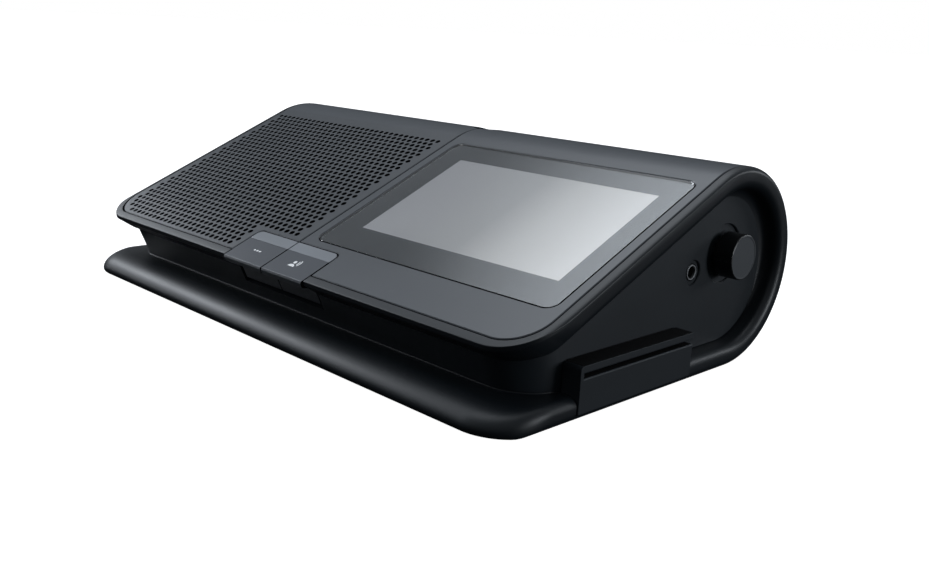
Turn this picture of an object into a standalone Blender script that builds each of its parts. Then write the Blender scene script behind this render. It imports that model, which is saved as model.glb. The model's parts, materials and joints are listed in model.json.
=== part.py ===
"""Conference delegate unit: loudspeaker half, touch display half, two talk buttons and two volume knobs."""
import math

import bmesh
import bpy
from mathutils import Matrix, Vector

# All lengths are metres. X runs along the width, Y to the back, Z up; the table is at Z = 0.

# Overall form: a teardrop band that wraps the unit, seen from the side
SHELL_WIDTH = 0.258
ROLL_RADIUS = 0.036
SLOPE_LENGTH = 0.1052
FRONT_HEIGHT = 0.02641581
BAND_THICKNESS = 0.0078
FOOT_PROUD = 0.0008
CORNER_RADIUS = 0.017
EDGE_ROUND = 0.003
SLOPE_EDGE_SHARE = 0.4
GAP = 0.0003
OVERRUN = 0.004

# Lip at the front of the base, and the nose of the top rim above it
LIP_REACH = 0.0071
LIP_ROUND = 0.012
LIP_EDGE = 0.0016
NOSE_REACH = 0.0015
NOSE_DEPTH = 0.0014
RIM_OVERHANG = 0.0034

# Outer shell walls and its openings
SHELL_WALL = 0.0025
BOTTOM_WALL = 0.004
RIM_WIDTH = 0.010
POCKET_SETBACK = 0.003
PANEL_LEDGE = 0.0025

# Inner housing: front wall and two side walls
SIDE_RECESS = 0.007
HOUSING_WALL = 0.0024
WALL_DRAFT = 0.0053

# Top panels
PANEL_THICKNESS = 0.0025
PANEL_SIDE_MARGIN = 0.0033
PANEL_FRONT_MARGIN = 0.0033
PANEL_CORNER = 0.013
PANEL_SEAM = 0.0006
PANEL_END_ANGLE = math.radians(0)

# Display
GLASS_SEAM_MARGIN = 0.005
GLASS_SIDE_MARGIN = 0.0078
GLASS_REAR_MARGIN = 0.0046
GLASS_FRONT_MARGIN = 0.0044
GLASS_THICKNESS = 0.0015
GLASS_CORNER = 0.004
GLASS_LEDGE = 0.003
LCD_LEFT_MARGIN = 0.00735
LCD_RIGHT_MARGIN = 0.00335
LCD_REAR_MARGIN = 0.0044
LCD_FRONT_MARGIN = 0.0072
LCD_THICKNESS = 0.0034
BRACKET_THICKNESS = 0.001
BRACKET_EXTRA = 0.001
BRACKET_INSET = 0.0006
RIBBON_CLEARANCE = 0.0006
LCD_CORNER = 0.0006
BRACKET_FLANGE = 0.002
RIBBON_WIDTH = 0.018
RIBBON_THICKNESS = 0.0006

# Talk buttons: the left one mutes, the right one opens the microphone
BUTTON_WIDTH = 0.0247
BUTTON_LENGTH = 0.0122
BUTTON_GAP = 0.0006
BUTTON_PLATE = 0.0024
BUTTON_TRAVEL_ANGLE = math.radians(3)
SKIRT_DEPTH = 0.013
SKIRT_THICKNESS = 0.0018
SKIRT_FACE = 0.0018
SKIRT_SIDE_INSET = 0.001
FINGER_RECESS_CLEARANCE = 0.00097
LIGHT_BAR_LENGTH = 0.0052
LIGHT_BAR_THICKNESS = 0.0012
BUTTON_CORNER = 0.0025
TRAY_THICKNESS = 0.001
PIN_RADIUS = 0.0009
PIN_DEPTH = 0.0052
PIN_SETBACK = 0.0022
KNUCKLE_RADIUS = 0.0021
CARRIER_WALL = 0.0014
CARRIER_DEPTH = 0.0152
CARRIER_LENGTH = 0.014
HINGE_CLEARANCE = 0.0006
SWITCH_CLEARANCE = 0.0006
SWITCH_CORNER = 0.0003
SWITCH_SIZE = 0.006
SWITCH_BASE = 0.0022
SWITCH_CAP_RADIUS = 0.0016
SWITCH_CAP_HEIGHT = 0.001
BUTTON_BOARD_THICKNESS = 0.0016
PLUNGER_WIDTH = 0.004

# Grille: the whole pattern's margins and counts; the solid has every second hole of every second row
GRILLE_SIDE_MARGIN = 0.008
GRILLE_SEAM_MARGIN = 0.006
GRILLE_REAR_MARGIN = 0.00577
GRILLE_FRONT_MARGIN = 0.006275
GRILLE_ROWS = 32
GRILLE_COLUMNS = 35
GRILLE_STRIDE = 2
GRILLE_HOLE_RADIUS = 0.0009
GRILLE_HOLE_SIDES = 6
GRILLE_CLEARANCE = 0.0035

# Loudspeaker
CLOTH_THICKNESS = 0.0004
BAFFLE_THICKNESS = 0.002
BAFFLE_SEAM_MARGIN = 0.009
BAFFLE_SIDE_MARGIN = 0.012
BAFFLE_REAR_MARGIN = 0.005
PILOT_DEPTH_SHARE = 0.67
CONE_RADIUS = 0.0236
CONE_THICKNESS = 0.0007
CONE_CAP_SHARE = 0.6
CONE_ROLL_SHARES = (0.86, 0.93, 0.94, 0.87)
COIL_RADIUS = 0.008
GASKET_WIDTH = 0.004
GASKET_THICKNESS = 0.001
FLANGE_WIDTH = 0.0074
FLANGE_THICKNESS = 0.0012
BASKET_DEPTH_SHARE = 0.59
CONE_DEPTH_SHARE = 0.68
MAGNET_CLEARANCE = 0.004
BASKET_WALL = 0.0012
BASKET_BACK_RADIUS = 0.0175
MAGNET_RADIUS = 0.0165
MAGNET_DEPTH_SHARE = 0.35

# Volume knobs, one in each side
KNOB_Y_OFFSET = 0.0008
KNOB_Z_OFFSET = 0.0044
KNOB_RADIUS = 0.0081
KNOB_PROUD = 0.001
KNOB_SIDE_GAP = 0.0006
KNOB_SKIRT = 0.0014
KNOB_HOLLOW = 0.0042
KNOB_EDGE = 0.0006
SHAFT_EDGE = 0.0006
BODY_CORNER = 0.0009
KNOB_SEAT_RADIUS = 0.0106
KNOB_SEAT_DEPTH = 0.0009
SHAFT_RADIUS = 0.003
SHAFT_LENGTH = 0.018
BUSH_RADIUS = 0.0042
BUSH_WALL_OUT = 0.0028
ENCODER_SIZE = 0.013
ENCODER_DEPTH = 0.0065
NUT_RADIUS = 0.0056
NUT_THICKNESS = 0.0018

# Headphone jacks, one in each side
JACK_Y_OFFSET = 0.0181
JACK_Z_OFFSET = 0.0001
JACK_SEAT_RADIUS = 0.0043
JACK_SEAT_DEPTH = 0.0008
JACK_RING_RADIUS = 0.0028
JACK_BORE_RADIUS = 0.00175
JACK_BODY_LENGTH = 0.013
JACK_BODY_SIZE = 0.008

# Card slot on the right side
CARD_FRONT_MARGIN = 0.01395
CARD_LENGTH = 0.0595
CARD_BOTTOM = 0.0026
CARD_HEIGHT = 0.0153
CARD_PROUD = 0.0005
CARD_SLOT_DROP = 0.0026
CARD_SLOT_HEIGHT = 0.0015
CARD_SLOT_END = 0.0016
CARD_CORNER = 0.0016
READER_DEPTH = 0.026
READER_HEIGHT = 0.0062
READER_WALL = 0.0012

# Microphone socket and its release, at the back of the centre seam
MIC_RADIUS = 0.007
MIC_SINK = 0.0021
MIC_FLANGE = 0.0022
MIC_BODY_RADIUS = 0.0062
MIC_BORE_RADIUS = 0.0049
MIC_BORE_DEPTH = 0.013
MIC_LENGTH = 0.0165
MIC_INSERT_THICKNESS = 0.0035
MIC_PIN_RADIUS = 0.0005
MIC_PIN_LENGTH = 0.003
MIC_PIN_RING = 0.0025
MIC_PIN_COUNT = 5
MIC_EDGE = 0.0006
MIC_Y_OFFSET = 0.0052
RELEASE_RADIUS = 0.0035
RELEASE_DROP = 0.0075
RELEASE_EDGE = 0.0006
RELEASE_SINK = 0.0006
RELEASE_TRAVEL = 0.0015
LATCH_WIDTH = 0.006
LATCH_THICKNESS = 0.0018
LATCH_HOOK = 0.0012

# Base: cover, ballast, feet and screws
COVER_SIDE_MARGIN = 0.029
COVER_FRONT_CLEARANCE = 0.0052
COVER_BACK_CLEARANCE = 0.005
COVER_THICKNESS = 0.002
COVER_CORNER = 0.006
COVER_LEDGE = 0.006
SCREW_SHANK_RADIUS = 0.001
SCREW_HEAD_RADIUS = 0.0021
SCREW_HEAD_HEIGHT = 0.0011
SCREW_SINK = 0.0012
SCREW_SEAT_GAP = 0.0001
SCREW_EDGE_SHARE = 0.34
BALLAST_SIDE_MARGIN = 0.04
BALLAST_END_MARGIN = 0.015
BALLAST_THICKNESS = 0.003
FOOT_END_MARGIN = 0.034
FOOT_CORNER_CLEARANCE = 0.0006
FOOT_WIDTH = 0.009
FOOT_SEAT = 0.0008
FOOT_FRONT_INSET = 0.0135
FOOT_BACK_INSET = 0.0051

# Main board and its sockets
BOARD_SIDE_MARGIN = 0.044
BOARD_REAR_CLEARANCE = 0.0013
PORT_SETBACK = 0.0012
BOARD_THICKNESS = 0.0016
BOARD_HEIGHT = 0.0105
BOARD_FRONT_GAP = 0.026
BOSS_RADIUS = 0.003
BOSS_INSET = 0.005
CHIP_HEIGHT = 0.0022
PORT_SPACING = 0.0205
PORT_X = 0.045
PORT_WIDTH = 0.0162
PORT_HEIGHT = 0.0134
PORT_DEPTH = 0.0165
PORT_MOUTH_WIDTH = 0.012
PORT_MOUTH_HEIGHT = 0.0085
PORT_MOUTH_DEPTH = 0.0125
PORT_MOUTH_RISE = 0.0018
BAY_WALL = 0.0012
BAY_CLEARANCE = 0.0012
BAY_MOUTH_MARGIN = 0.0006

# Counts for round forms
FINE_STEPS = 24
ROUND_STEPS = 20
SMALL_STEPS = 12
CORNER_STEPS = 4
SHARP_ANGLE = math.radians(35)

# Values worked out from the driving dimensions
ROLL_Z = FOOT_PROUD + ROLL_RADIUS
SLOPE_ANGLE = (math.acos((FRONT_HEIGHT - ROLL_Z) / math.hypot(ROLL_RADIUS, SLOPE_LENGTH))
               - math.atan2(SLOPE_LENGTH, ROLL_RADIUS))
SIN = math.sin(SLOPE_ANGLE)
COS = math.cos(SLOPE_ANGLE)
HALF = SHELL_WIDTH / 2
HOUSING_HALF = HALF - SIDE_RECESS
DEPTH = ROLL_RADIUS * (1 + SIN) + SLOPE_LENGTH * COS + LIP_REACH
ROLL_Y = DEPTH / 2 - ROLL_RADIUS
REAR_Y = DEPTH / 2
LIP_FRONT_Y = -DEPTH / 2
ROLL_TOP_ANGLE = math.pi / 2 + SLOPE_ANGLE
PANEL_HALF = HALF - PANEL_SIDE_MARGIN
PANEL_FRONT = SLOPE_LENGTH - PANEL_FRONT_MARGIN
CREST_Z = ROLL_Z + ROLL_RADIUS

WALL_TOP_DROP = SLOPE_LENGTH - RIM_OVERHANG
WALL_TOP_Y = ROLL_Y - ROLL_RADIUS * SIN - WALL_TOP_DROP * COS + BAND_THICKNESS * SIN
WALL_TOP_Z = ROLL_Z + ROLL_RADIUS * COS - WALL_TOP_DROP * SIN - BAND_THICKNESS * COS
WALL_BOTTOM_Y = WALL_TOP_Y + WALL_DRAFT
WALL_BOTTOM_Z = FOOT_PROUD + BAND_THICKNESS

KNOB_Y = ROLL_Y + KNOB_Y_OFFSET
KNOB_Z = ROLL_Z + KNOB_Z_OFFSET
JACK_Y = ROLL_Y - JACK_Y_OFFSET
JACK_Z = ROLL_Z - JACK_Z_OFFSET
CARD_Y = WALL_BOTTOM_Y + CARD_FRONT_MARGIN + CARD_LENGTH / 2
CARD_Z = FOOT_PROUD + CARD_BOTTOM
CARD_SLOT_Z = CARD_Z + CARD_HEIGHT - CARD_SLOT_DROP - CARD_SLOT_HEIGHT / 2
FOOT_FRONT_Y = LIP_FRONT_Y + FOOT_FRONT_INSET
FOOT_BACK_Y = ROLL_Y - FOOT_BACK_INSET
COVER_FRONT_Y = FOOT_FRONT_Y + FOOT_WIDTH / 2 + COVER_FRONT_CLEARANCE
COVER_BACK_Y = FOOT_BACK_Y - FOOT_WIDTH / 2 - COVER_BACK_CLEARANCE
COVER_LENGTH = COVER_BACK_Y - COVER_FRONT_Y
COVER_Y = (COVER_FRONT_Y + COVER_BACK_Y) / 2
COVER_WIDTH = SHELL_WIDTH - 2 * COVER_SIDE_MARGIN
BALLAST_WIDTH = COVER_WIDTH - 2 * BALLAST_SIDE_MARGIN
BALLAST_LENGTH = COVER_LENGTH - 2 * BALLAST_END_MARGIN
FOOT_LENGTH = SHELL_WIDTH - 2 * FOOT_END_MARGIN

BAR_REAR = SLOPE_LENGTH - BUTTON_LENGTH - LIGHT_BAR_LENGTH
BUTTON_REAR = SLOPE_LENGTH - BUTTON_LENGTH
BUTTON_BLOCK_HALF = BUTTON_WIDTH + BUTTON_GAP / 2
PIN_DROP = BAR_REAR - PIN_SETBACK
CARRIER_REAR = PIN_DROP - KNUCKLE_RADIUS - GAP
SKIRT_DROP = WALL_TOP_DROP - GAP
SWITCH_DROP = (BUTTON_REAR + SKIRT_DROP - SKIRT_THICKNESS) / 2
SWITCH_TOP = CARRIER_DEPTH - SWITCH_CLEARANCE - BUTTON_BOARD_THICKNESS - SWITCH_BASE - SWITCH_CAP_HEIGHT
PRESS = math.sin(BUTTON_TRAVEL_ANGLE)
RECESS_DEPTH = SKIRT_DEPTH + (SKIRT_DROP - PIN_DROP) * PRESS + FINGER_RECESS_CLEARANCE
PLUNGER_END = SWITCH_TOP - GAP - (SWITCH_DROP + PLUNGER_WIDTH / 2 - PIN_DROP) * PRESS

GLASS_WIDTH = HALF - GLASS_SIDE_MARGIN - GLASS_SEAM_MARGIN
GLASS_X = GLASS_SEAM_MARGIN + GLASS_WIDTH / 2
GLASS_HEIGHT = BAR_REAR - GLASS_FRONT_MARGIN - GLASS_REAR_MARGIN
GLASS_DROP = GLASS_REAR_MARGIN + GLASS_HEIGHT / 2
LCD_WIDTH = GLASS_WIDTH - LCD_LEFT_MARGIN - LCD_RIGHT_MARGIN
LCD_HEIGHT = GLASS_HEIGHT - LCD_REAR_MARGIN - LCD_FRONT_MARGIN
DISPLAY_X = GLASS_SEAM_MARGIN + LCD_LEFT_MARGIN + LCD_WIDTH / 2
DISPLAY_DROP = GLASS_REAR_MARGIN + LCD_REAR_MARGIN + LCD_HEIGHT / 2

BAFFLE_WIDTH = HALF - BAFFLE_SIDE_MARGIN - BAFFLE_SEAM_MARGIN
BAFFLE_HEIGHT = CARRIER_REAR - GAP - BAFFLE_REAR_MARGIN
SPEAKER_X = BAFFLE_SEAM_MARGIN + BAFFLE_WIDTH / 2
SPEAKER_DROP = BAFFLE_REAR_MARGIN + BAFFLE_HEIGHT / 2
CLOTH_DEPTH = PANEL_THICKNESS + GAP
BAFFLE_DEPTH = CLOTH_DEPTH + CLOTH_THICKNESS + GAP
GASKET_DEPTH = BAFFLE_DEPTH + BAFFLE_THICKNESS + GAP
FLANGE_DEPTH = GASKET_DEPTH + GASKET_THICKNESS + GAP
FLANGE_RADIUS = CONE_RADIUS + FLANGE_WIDTH
FLANGE_SCREW_RING = FLANGE_RADIUS - SCREW_HEAD_RADIUS / 2 - SCREW_SHANK_RADIUS

LCD_DEPTH = GLASS_THICKNESS + GAP
BRACKET_DEPTH = LCD_DEPTH + LCD_THICKNESS + GAP

COVER_TOP_Z = FOOT_PROUD + COVER_THICKNESS
BOARD_Z = FOOT_PROUD + BOARD_HEIGHT
BOARD_TOP_Z = BOARD_Z + BOARD_THICKNESS
BOARD_FRONT_Y = WALL_BOTTOM_Y + BOARD_FRONT_GAP
BOARD_WIDTH = SHELL_WIDTH - 2 * BOARD_SIDE_MARGIN
INNER_ROLL_RADIUS = ROLL_RADIUS - SHELL_WALL
BOARD_REACH = math.sqrt(INNER_ROLL_RADIUS ** 2 - (ROLL_Z - BOARD_Z) ** 2)
BOARD_BACK_Y = ROLL_Y + BOARD_REACH - BOARD_REAR_CLEARANCE
PORT_FACE_Y = BOARD_BACK_Y + PORT_SETBACK
BOARD_LENGTH = BOARD_BACK_Y - BOARD_FRONT_Y
PORT_Z = BOARD_TOP_Z + GAP
PORT_MOUTH_Z = PORT_Z + PORT_MOUTH_RISE
MIC_Y = ROLL_Y + MIC_Y_OFFSET
MIC_TOP_Z = CREST_Z - MIC_SINK
RELEASE_Z = ROLL_Z - RELEASE_DROP
RELEASE_FACE_Y = ROLL_Y + math.sqrt(ROLL_RADIUS ** 2 - RELEASE_DROP ** 2) - RELEASE_SINK
LATCH_HOOK_Y = MIC_Y + MIC_BODY_RADIUS + RELEASE_TRAVEL + GAP
LATCH_BACK_Y = LATCH_HOOK_Y + LATCH_HOOK + LATCH_THICKNESS
RELEASE_LENGTH = RELEASE_FACE_Y - LATCH_BACK_Y - GAP

# Room for the loudspeaker, from its flange down to the parts on the main board
SPEAKER_TOP_Z = ROLL_Z + ROLL_RADIUS * COS - SPEAKER_DROP * SIN
SPEAKER_ROOM = (SPEAKER_TOP_Z - BOARD_TOP_Z - CHIP_HEIGHT - MAGNET_CLEARANCE - MAGNET_RADIUS * SIN) / COS
SPEAKER_ROOM -= FLANGE_DEPTH
BASKET_DEPTH = SPEAKER_ROOM * BASKET_DEPTH_SHARE
CONE_DEPTH = BASKET_DEPTH * CONE_DEPTH_SHARE
MAGNET_THICKNESS = SPEAKER_ROOM * MAGNET_DEPTH_SHARE
BASKET_BACK_DEPTH = FLANGE_DEPTH + BASKET_DEPTH


def clear_objects():
    for obj in list(bpy.data.objects):
        bpy.data.objects.remove(obj, do_unlink=True)


def make_material(name, colour, roughness, metallic=0.0):
    material = bpy.data.materials.new(name)
    material.use_nodes = True
    shader = material.node_tree.nodes["Principled BSDF"]
    shader.inputs["Base Color"].default_value = (*colour, 1.0)
    shader.inputs["Roughness"].default_value = roughness
    shader.inputs["Metallic"].default_value = metallic
    return material


# Places: each turns two outline values and an extrusion value into a point
def on_slope(x, drop, depth):
    """A point drop below the roll along the slope, depth under the top face."""
    y = ROLL_Y - ROLL_RADIUS * SIN - drop * COS + depth * SIN
    z = ROLL_Z + ROLL_RADIUS * COS - drop * SIN - depth * COS
    return Vector((x, y, z))


def from_above(x, y, z):
    return Vector((x, y, z))


def from_side(y, z, x):
    return Vector((x, y, z))


def from_behind(x, z, y):
    return Vector((x, y, z))


# Outlines
def spaced(start, stop, steps):
    return [start + (stop - start) * i / steps for i in range(steps + 1)]


def arc(centre_a, centre_b, radius_a, radius_b, start, stop, steps):
    return [
        (centre_a + radius_a * math.cos(t), centre_b + radius_b * math.sin(t))
        for t in spaced(start, stop, steps)
    ]


def circle(centre_a, centre_b, radius, steps=SMALL_STEPS):
    return arc(centre_a, centre_b, radius, radius, 0, 2 * math.pi, steps)[:-1]


def rectangle(low_a, high_a, low_b, high_b):
    return [(low_a, low_b), (high_a, low_b), (high_a, high_b), (low_a, high_b)]


def round_rectangle(centre_a, centre_b, width, height, radius, steps=CORNER_STEPS):
    half_a = width / 2 - radius
    half_b = height / 2 - radius
    corners = [(half_a, half_b), (-half_a, half_b), (-half_a, -half_b), (half_a, -half_b)]
    points = []
    for quarter, (a, b) in enumerate(corners):
        start = quarter * math.pi / 2
        points += arc(centre_a + a, centre_b + b, radius, radius, start, start + math.pi / 2, steps)
    return points


# Solids
def finish_mesh(name, vertices, faces, material):
    mesh = bpy.data.meshes.new(name)
    mesh.from_pydata([tuple(v) for v in vertices], [], faces)
    work = bmesh.new()
    work.from_mesh(mesh)
    bmesh.ops.recalc_face_normals(work, faces=work.faces)
    work.to_mesh(mesh)
    work.free()
    mesh.shade_smooth()
    mesh.set_sharp_from_angle(angle=SHARP_ANGLE)
    obj = bpy.data.objects.new(name, mesh)
    bpy.context.scene.collection.objects.link(obj)
    if material is not None:
        mesh.materials.append(material)
    return obj


def loft(name, loops, material):
    """A closed solid through loops of equal length, capped at both ends."""
    count = len(loops[0])
    vertices = [point for loop in loops for point in loop]
    faces = []
    for ring in range(len(loops) - 1):
        low = ring * count
        high = low + count
        for i in range(count):
            j = (i + 1) % count
            faces.append((low + i, low + j, high + j, high + i))
    faces.append(tuple(range(count)))
    faces.append(tuple(range(len(vertices) - count, len(vertices))))
    return finish_mesh(name, vertices, faces, material)


def extrude(name, outline, low, high, place, material):
    loops = [[place(a, b, c) for a, b in outline] for c in (low, high)]
    return loft(name, loops, material)


def turned(name, profile, centre, axis, material, steps=ROUND_STEPS):
    """A solid of revolution from a closed profile of (radius, height) points."""
    direction = Vector(axis).normalized()
    turn = direction.to_track_quat("Z", "Y").to_matrix()
    rings = []
    vertices = []
    for radius, height in profile:
        if radius == 0:
            rings.append([len(vertices)] * steps)
            vertices.append(centre + turn @ Vector((0, 0, height)))
            continue
        rings.append(list(range(len(vertices), len(vertices) + steps)))
        for i in range(steps):
            t = 2 * math.pi * i / steps
            vertices.append(centre + turn @ Vector((radius * math.cos(t), radius * math.sin(t), height)))
    closed = profile[0][0] > 0
    faces = []
    for a in range(len(rings) if closed else len(rings) - 1):
        b = (a + 1) % len(rings)
        for i in range(steps):
            j = (i + 1) % steps
            corners = [rings[a][i], rings[a][j], rings[b][j], rings[b][i]]
            face = tuple(dict.fromkeys(corners))
            if len(face) > 2:
                faces.append(face)
    return finish_mesh(name, vertices, faces, material)


def joined(name, pieces):
    """Puts several solids into one object, still as separate bodies."""
    work = bmesh.new()
    for piece in pieces:
        work.from_mesh(piece.data)
    mesh = bpy.data.meshes.new(name)
    work.to_mesh(mesh)
    work.free()
    for material in pieces[0].data.materials:
        mesh.materials.append(material)
    for piece in pieces:
        bpy.data.objects.remove(piece, do_unlink=True)
    mesh.shade_smooth()
    mesh.set_sharp_from_angle(angle=SHARP_ANGLE)
    obj = bpy.data.objects.new(name, mesh)
    bpy.context.scene.collection.objects.link(obj)
    return obj


def combine(target, tool, operation):
    tool.hide_render = True
    tool.display_type = "WIRE"
    modifier = target.modifiers.new(tool.name, "BOOLEAN")
    modifier.operation = operation
    modifier.solver = "EXACT"
    modifier.object = tool
    return target


def cut(target, *tools):
    for tool in tools:
        combine(target, tool, "DIFFERENCE")
    return target


def move_origin(obj, point):
    obj.data.transform(Matrix.Translation(-point))
    obj.location = point
    return obj


# Profiles of the band, in (y, z) at one station across the width
def corner_recede(x, half, radius):
    """How far the front edge falls back at x to round a corner seen from above."""
    reach = (abs(x) - (half - radius)) / radius
    if reach <= 0:
        return 0
    return radius * (1 - math.sqrt(max(0, 1 - reach ** 2)))


def stations(half, radius, steps=6):
    """Places across the width, close together where the corners turn."""
    right = [half - radius + radius * math.sin(t) for t in spaced(0, math.pi / 2, steps)]
    return [-x for x in reversed(right)] + right


def edge_inset(x):
    reach = (abs(x) - (HALF - EDGE_ROUND)) / EDGE_ROUND
    if reach <= 0:
        return 0
    return EDGE_ROUND * (1 - math.sqrt(max(0, 1 - reach ** 2)))


def slope_yz(drop, depth):
    point = on_slope(0, drop, depth)
    return (point.y, point.z)


def roll_yz(angle, radius):
    return (ROLL_Y + radius * math.cos(angle), ROLL_Z + radius * math.sin(angle))


def band_profile(x):
    inset = edge_inset(x)
    recede = corner_recede(x, HALF, CORNER_RADIUS)
    share = (BAND_THICKNESS - 2 * inset) / BAND_THICKNESS
    front = LIP_FRONT_Y + recede + inset
    lip_z = FOOT_PROUD + inset + LIP_EDGE * share
    edge = LIP_EDGE * share
    points = arc(
        front + LIP_ROUND * share, lip_z, LIP_ROUND * share,
        (BAND_THICKNESS - LIP_EDGE) * share, math.pi / 2, math.pi, 7,
    )
    points += arc(front + edge, lip_z, edge, edge, math.pi, 1.5 * math.pi, 3)[1:]
    for angle in spaced(-math.pi / 2, ROLL_TOP_ANGLE, FINE_STEPS):
        climb = max(0, angle / ROLL_TOP_ANGLE)
        here = inset * (1 - (1 - SLOPE_EDGE_SHARE) * climb ** 2)
        points.append(roll_yz(angle, ROLL_RADIUS - here))
    top = inset * SLOPE_EDGE_SHARE
    reach = SLOPE_LENGTH - recede / COS - inset
    thin = (BAND_THICKNESS - top - inset) / BAND_THICKNESS
    nose = arc(reach, NOSE_DEPTH * thin, NOSE_REACH, NOSE_DEPTH * thin, -math.pi / 2, 0, 4)
    points += [slope_yz(drop, top + depth) for drop, depth in nose]
    points.append(slope_yz(reach - RIM_OVERHANG, BAND_THICKNESS - inset))
    for angle in reversed(spaced(-math.pi / 2, ROLL_TOP_ANGLE, FINE_STEPS)):
        points.append(roll_yz(angle, ROLL_RADIUS - BAND_THICKNESS + inset))
    return points


def strip_profile(x, half, corner, front, outside, inside, end_angle):
    """A strip that follows the slope and the roll between two depths."""
    reach = front - corner_recede(x, half, corner) / COS
    angles = spaced(end_angle, ROLL_TOP_ANGLE, FINE_STEPS // 2)
    points = [roll_yz(angle, ROLL_RADIUS - outside) for angle in angles]
    points.append(slope_yz(reach, outside))
    points.append(slope_yz(reach, inside))
    points += [roll_yz(angle, ROLL_RADIUS - inside) for angle in reversed(angles)]
    return points


def housing_profile(x, wall_gap):
    recede = corner_recede(x, HOUSING_HALF, CORNER_RADIUS)
    radius = ROLL_RADIUS - BAND_THICKNESS - wall_gap
    points = [(WALL_BOTTOM_Y + recede, ROLL_Z - radius)]
    points += [roll_yz(angle, radius) for angle in spaced(-math.pi / 2, ROLL_TOP_ANGLE, FINE_STEPS)]
    points.append(slope_yz(WALL_TOP_DROP - recede / COS, BAND_THICKNESS + wall_gap))
    return points


def across(name, places, profile, material):
    return loft(name, [[from_side(y, z, x) for y, z in profile(x)] for x in places], material)


# Casing
def make_outer_shell(material):
    shell = across("outer_shell", stations(HALF, CORNER_RADIUS, 8), band_profile, material)

    pocket_half = HALF - RIM_WIDTH
    pocket_corner = CORNER_RADIUS - (HOUSING_HALF - pocket_half)
    inner = INNER_ROLL_RADIUS
    low_angle = -math.asin((ROLL_RADIUS - BOTTOM_WALL) / inner)
    back = [roll_yz(angle, inner) for angle in spaced(low_angle, ROLL_TOP_ANGLE, FINE_STEPS)]

    def pocket_profile(x):
        # The corners stay inside the housing's rounded ones, so no hole shows at their foot
        recede = corner_recede(x, pocket_half, pocket_corner)
        front = PANEL_FRONT - PANEL_LEDGE - recede / COS
        return back + [
            slope_yz(front, SHELL_WALL), slope_yz(front, BAND_THICKNESS + OVERRUN),
            (WALL_BOTTOM_Y + POCKET_SETBACK + recede, FOOT_PROUD + BOTTOM_WALL),
        ]

    hollow = across("cut_hollow", stations(pocket_half, pocket_corner), pocket_profile, None)

    half = PANEL_HALF + PANEL_SEAM / 2
    seat_depth = PANEL_THICKNESS + GAP
    end_angle = PANEL_END_ANGLE - PANEL_SEAM / ROLL_RADIUS

    def seat_profile(x):
        return strip_profile(x, half, PANEL_CORNER, PANEL_FRONT + PANEL_SEAM / 2, -OVERRUN, seat_depth,
                             end_angle)

    seat = across("cut_panel_seat", stations(half, PANEL_CORNER), seat_profile, None)

    block = BUTTON_BLOCK_HALF + BUTTON_GAP
    notch = extrude(
        "cut_button_notch", rectangle(-block, block, BAR_REAR - OVERRUN, SLOPE_LENGTH + OVERRUN),
        -OVERRUN, BAND_THICKNESS + OVERRUN, on_slope, None,
    )
    cover_open = extrude(
        "cut_cover_seat",
        round_rectangle(0, COVER_Y, COVER_WIDTH + 2 * GAP, COVER_LENGTH + 2 * GAP, COVER_CORNER),
        -OVERRUN, COVER_TOP_Z + GAP, from_above, None,
    )
    base_open = extrude(
        "cut_base_opening",
        round_rectangle(0, COVER_Y, COVER_WIDTH - 2 * COVER_LEDGE, COVER_LENGTH - 2 * COVER_LEDGE,
                        COVER_CORNER),
        0, FOOT_PROUD + BAND_THICKNESS, from_above, None,
    )
    card_notch = extrude(
        "cut_card_notch",
        rectangle(CARD_Y - CARD_LENGTH / 2 - GAP, CARD_Y + CARD_LENGTH / 2 + GAP, CARD_Z - GAP,
                  CARD_Z + CARD_HEIGHT),
        HOUSING_HALF - GAP, HALF + OVERRUN, from_side, None,
    )
    cut(shell, hollow, seat, notch, cover_open, base_open, card_notch, *bay_opening(), release_hole())
    screw_holes = [
        extrude("cut_ledge_screw", circle(x, y, SCREW_SHANK_RADIUS + GAP), COVER_TOP_Z,
                FOOT_PROUD + BAND_THICKNESS + OVERRUN, from_above, None)
        for x, y in cover_screw_places()
    ]
    foot_seats = [
        extrude("cut_foot_seat",
                round_rectangle(0, y, FOOT_LENGTH + 2 * GAP, FOOT_WIDTH + 2 * GAP, FOOT_WIDTH / 2 - GAP),
                -OVERRUN, FOOT_PROUD + FOOT_SEAT, from_above, None)
        for _, y in foot_places()
    ]
    cut(shell, joined("cut_ledge_screws", screw_holes), joined("cut_foot_seats", foot_seats))
    return shell


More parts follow.
